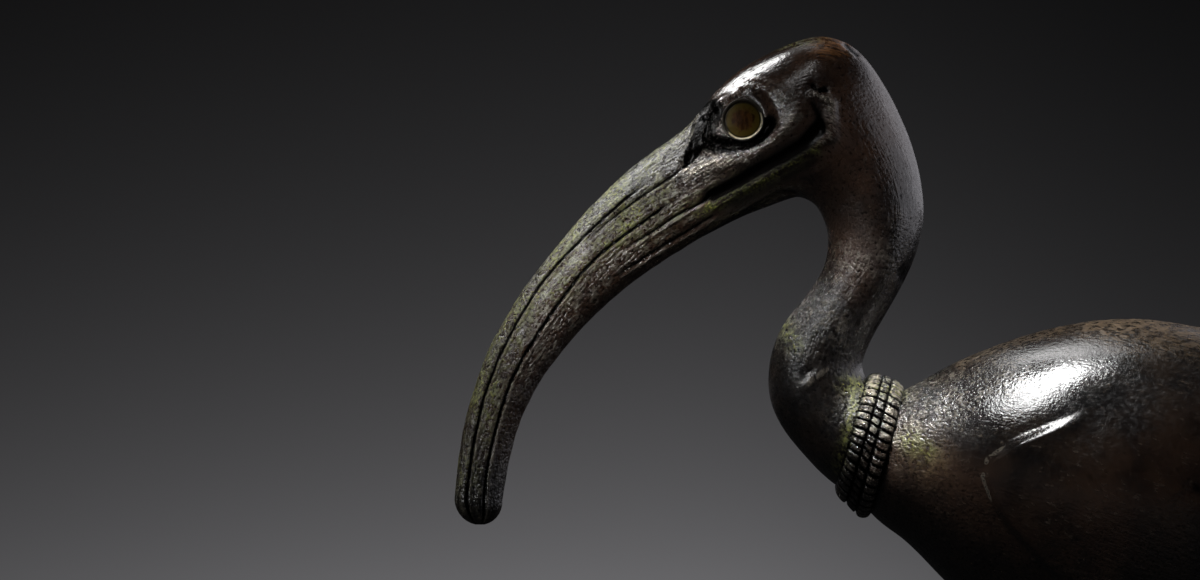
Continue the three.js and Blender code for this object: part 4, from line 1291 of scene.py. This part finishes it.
def give(piece, material):
    """One material for the whole piece."""
    piece.data.materials.clear()
    piece.data.materials.append(material)


give(ibis, bronze("waxed bronze patina", 0.0))
give(base, bronze("dull bronze patina", 0.10))
print("The bronze's finish has", len(ibis.data.materials[0].node_tree.nodes), "nodes")

# %% [markdown]
# ## Gold and glass
# The rings are gold, painted bright on the lit lower back of their mouths, with dirt and painted shade
# over the rest.
# The inlays are glass that time has turned to an opaque amber-brown: olive towards the edge, brown in the
# middle and streaked up and down. They hardly shine, so their reflection is turned down.

# %% The gold of the rings
pale_gold = (0.78, 0.70, 0.46, 1)
dirt_and_shade = (0.022, 0.016, 0.008, 1)


def gold():
    """Pale gold painted on the lit lower back, dirt and painted shade elsewhere and where a fine noise is
    low.
    """
    material, shader = new_material("worn and lit gold")
    place = own_place(shader)
    worn_and_lit_gold = carried_by(shader, "worn_and_lit_gold", "Fac")
    clean_and_lit_gold = mask(plus(worn_and_lit_gold, times(noise(place, 2600, 3), 0.6)), 0.55, 0.85)
    feed(shader, {"Base Color": laid_over(clean_and_lit_gold, dirt_and_shade, pale_gold),
                  "Metallic": mask(clean_and_lit_gold, 0, 1, 0.0, 0.4), "Roughness": mask(clean_and_lit_gold, 0, 1, 0.60, 0.32),
                  "Normal": bumped(noise(place, 1800, 3), distance=0.00006)})
    return material


# %% The glass of the inlays
glass_black = (0.016, 0.006, 0.002, 1)
glass_brown = (0.050, 0.021, 0.006, 1)
glass_olive = (0.055, 0.038, 0.006, 1)
glass_rim = (0.012, 0.009, 0.004, 1)


def amber_glass():
    """Brown in the middle, amber-olive near the edge and dark at the rim, clouded by noise and streaked."""
    material, shader = new_material("aged amber glass")
    place = own_place(shader)
    radius = carried_by(shader, "radius", "Fac")
    cloud = noise(place, 900, 4, 0.65)
    streak = noise(stretched(place, (1, 1, 0.25)), 1400, 3, 0.6, 2)
    wandering = plus(radius, times(plus(cloud, -0.5), 0.9))
    colour = laid_over(mask(streak, 0.35, 0.65), glass_black, glass_brown)
    colour = laid_over(mask(wandering, 0.45, 0.80), colour, glass_olive)
    colour = laid_over(mask(radius, 0.86, 1.0), colour, glass_rim)
    feed(shader, {"Base Color": colour, "Roughness": mask(cloud, 0.3, 0.7, 0.22, 0.45),
                  "Normal": bumped(cloud, distance=0.00010), "IOR": 1.5, "Specular IOR Level": 0.05})
    return material


gold_finish, glass_finish = gold(), amber_glass()
for pair in eyes.values():
    give(pair["ring"], gold_finish)
    give(pair["inlay"], glass_finish)
print("Gold and glass are given to", len(eyes), "eyes")

# %% [markdown]
# ## The pieces on one body
# Each piece rides on the figure's one body, and the imported piece that it stands for is hidden.

# %% Pieces and their body
pieces = {"ibis": (ibis, "bronze"), "low_base": (base, "base_bronze")}
for name, pair in eyes.items():
    pieces[f"{name}_eye_ring"] = (pair["ring"], "gold")
    pieces[f"{name}_eye_inlay"] = (pair["inlay"], "eye_inlay")
for node, (piece, slot) in pieces.items():
    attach(piece, "root")
    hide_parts(node)
print("Pieces:", sorted(piece.name for piece, slot in pieces.values()))

# %% [markdown]
# ## The camera
# The photograph looks level at the bird's left side through a long lens. So the camera stands four metres
# away, level with the middle of the picture, and its lens is as long as it takes for the grid of squares
# to come out at 50 pixels to a square.

# %% Camera
photo_size = (1200, 580)
photo_middle = seen((photo_size[0] / 2, photo_size[1] / 2))[0]
camera_distance = 4.0
camera = bpy.data.objects.new("camera", bpy.data.cameras.new("camera"))
camera.data.sensor_width = 36.0
camera.data.lens = camera.data.sensor_width * camera_distance / (photo_size[0] / photo_square * square)
camera.location = placed([photo_middle[0], 0, photo_middle[1]]) - np.array([0, camera_distance, 0])
camera.rotation_euler = (math.pi / 2, 0, 0)
camera.data.clip_end = 50
bpy.context.scene.collection.objects.link(camera)
bpy.context.scene.camera = camera
print("The camera is at", [round(value, 3) for value in camera.location],
      "with a lens of", round(camera.data.lens), "mm")

# %% [markdown]
# ## The studio lights
# Each bright spot in the photograph is the reflection of a lamp, and the black between them shows how
# narrow the beams are. So small softboxes with grids hang close to the bird, each aimed at one place: the
# shoulder from above and from the front, the back, the collar, the neck, the bill from the side and from
# behind, its tip, and the lid under the eye. Three larger ones stand further off: one above and behind, for
# the upper edges, and two cool and dim ones at the right, which draw the satin band down the nape.

# %% Lights
def softbox(name, direction, distance, size, brightness, target, spread=180, colour=(1, 1, 1)):
    """A rectangle of light at a distance in a direction from its target, turned to face it. Its power is its
    brightness times its area times pi, so a larger box is no dimmer to look at. A grid in front of it can
    narrow its beam to a spread in degrees. The power gathers in the beam, so it is lowered by
    (tan h - h) / tan h, where h is half the spread."""
    light = bpy.data.lights.new(name, "AREA")
    light.shape = "RECTANGLE"
    light.size, light.size_y = size
    half_spread = math.radians(spread) / 2
    beam = (math.tan(half_spread) - half_spread) / math.tan(half_spread)
    light.energy = brightness * beam * math.pi * size[0] * size[1]
    light.spread = 2 * half_spread
    light.color = colour
    box = bpy.data.objects.new(name, light)
    towards = Vector(direction).normalized()
    box.location = Vector(target) + towards * distance
    box.rotation_euler = towards.to_track_quat("Z", "Y").to_euler()
    box.visible_camera = False
    bpy.context.scene.collection.objects.link(box)


shoulder = (-0.030, -0.020, 0.145)
back = (0.012, 0.0, 0.153)
whole_bird = (-0.05, 0.0, 0.17)
cool = (0.95, 0.93, 1.0)
softbox("key", (-0.305, -0.20, 0.93), 0.155, (0.034, 0.085), 43.0, shoulder, 29)
softbox("overhead", (-0.31, 0.20, 0.93), 0.155, (0.07, 0.15), 6.5, back, 42)
softbox("front", (-0.47, -0.44, 0.76), 0.19, (0.045, 0.08), 19.5, shoulder, 25)
softbox("collar", (-0.13, -0.34, 0.93), 0.12, (0.025, 0.025), 430.0, (-0.0570, -0.013, 0.141), 12.5)
softbox("neck", (-0.80, -0.40, 0.45), 0.15, (0.03, 0.03), 11.0, (-0.078, -0.008, 0.153), 14)
softbox("bill", (-0.55, -0.74, 0.38), 0.17, (0.05, 0.05), 50.0, (-0.118, -0.005, 0.169), 27)
softbox("bill back", (-0.60, 0.26, 0.76), 0.16, (0.03, 0.05), 38.0, (-0.108, -0.003, 0.187), 26)
softbox("tip", (-0.88, -0.42, 0.22), 0.15, (0.03, 0.03), 26.0, (-0.144, -0.005, 0.125), 15)
softbox("lid", (-0.46, -0.42, 0.78), 0.12, (0.012, 0.012), 800.0, (-0.094, -0.012, 0.1865), 10)
softbox("rim", (-0.55, 0.38, 0.74), 0.85, (0.24, 0.30), 10.5, whole_bird)
softbox("right", (1.0, 0.08, 0.20), 0.90, (1.30, 0.72), 0.58, whole_bird, colour=cool)
softbox("behind right", (0.60, 0.75, 0.35), 0.95, (0.90, 0.70), 0.6, whole_bird, colour=cool)
print("Lamps:", len(bpy.data.lights))

# %% [markdown]
# ## Floor and room
# The floor is plain and pale. It is hidden from reflections, because the photograph's bird stands over
# something dark. Behind it the room goes from grey at the foot to nearly black, and darker to the sides.

# %% Floor
floor_radius = 6.5
edge_turn = 2 * np.pi * np.arange(96) / 96
floor_edge = floor_radius * np.stack([np.cos(edge_turn), np.sin(edge_turn), 0 * edge_turn], -1)
floor_mesh = bpy.data.meshes.new("floor")
floor_mesh.from_pydata(floor_edge, [], [list(range(len(edge_turn)))])
floor = bpy.data.objects.new("floor", floor_mesh)
bpy.context.scene.collection.objects.link(floor)
floor.visible_glossy = False
floor.visible_diffuse = False
floor_material, floor_shader = new_material("pale floor")
feed(floor_shader, {"Base Color": (0.62, 0.61, 0.59, 1), "Roughness": 0.8})
give(floor, floor_material)
print("The floor is", 2 * floor_radius, "m across")

# %% Room
room_dark, room_grey = 0.0105, 0.135
room_foot, room_fall = 0.0145, 86.0
bright_middle, narrowness, side_share = 0.003, 28.0, 0.38
world = bpy.data.worlds.new("studio")
world.use_nodes = True
background = world.node_tree.nodes["Background"]
direction = split(add_node(background, "ShaderNodeTexCoord", {}).outputs["Generated"])
across, upwards = direction["X"], direction["Z"]


def e_to_the(value):
    """e to the power of a value."""
    return add_node(value, "ShaderNodeMath", {0: value}, operation="EXPONENT").outputs[0]


# upwards the room is dark * e^(-fall * (z - foot)) bright, held between dark and grey, and below it dims
falling = times(e_to_the(times(plus(upwards, -room_foot), -room_fall)), room_dark)
held = calculated("MINIMUM", largest(falling, room_dark), room_grey)
level = times(held, mask(upwards, -0.15, -0.03, 0.15, 1.0))
# to the sides it falls off by e^(-(narrowness * (x - middle))^2) to the side share
aside = times(plus(across, -bright_middle), narrowness)
bell = plus(times(e_to_the(times(aside, aside, -1.0)), 1 - side_share), side_share)
centred = times(bell, mask(across, 0.002, 0.034, 1.0, 0.62))
feed(background, {"Strength": times(level, centred), "Color": (1.0, 0.985, 1.03, 1)})
bpy.context.scene.world = world
bpy.context.scene.view_settings.view_transform = "Standard"
print("The room goes from", room_dark, "to", room_grey)
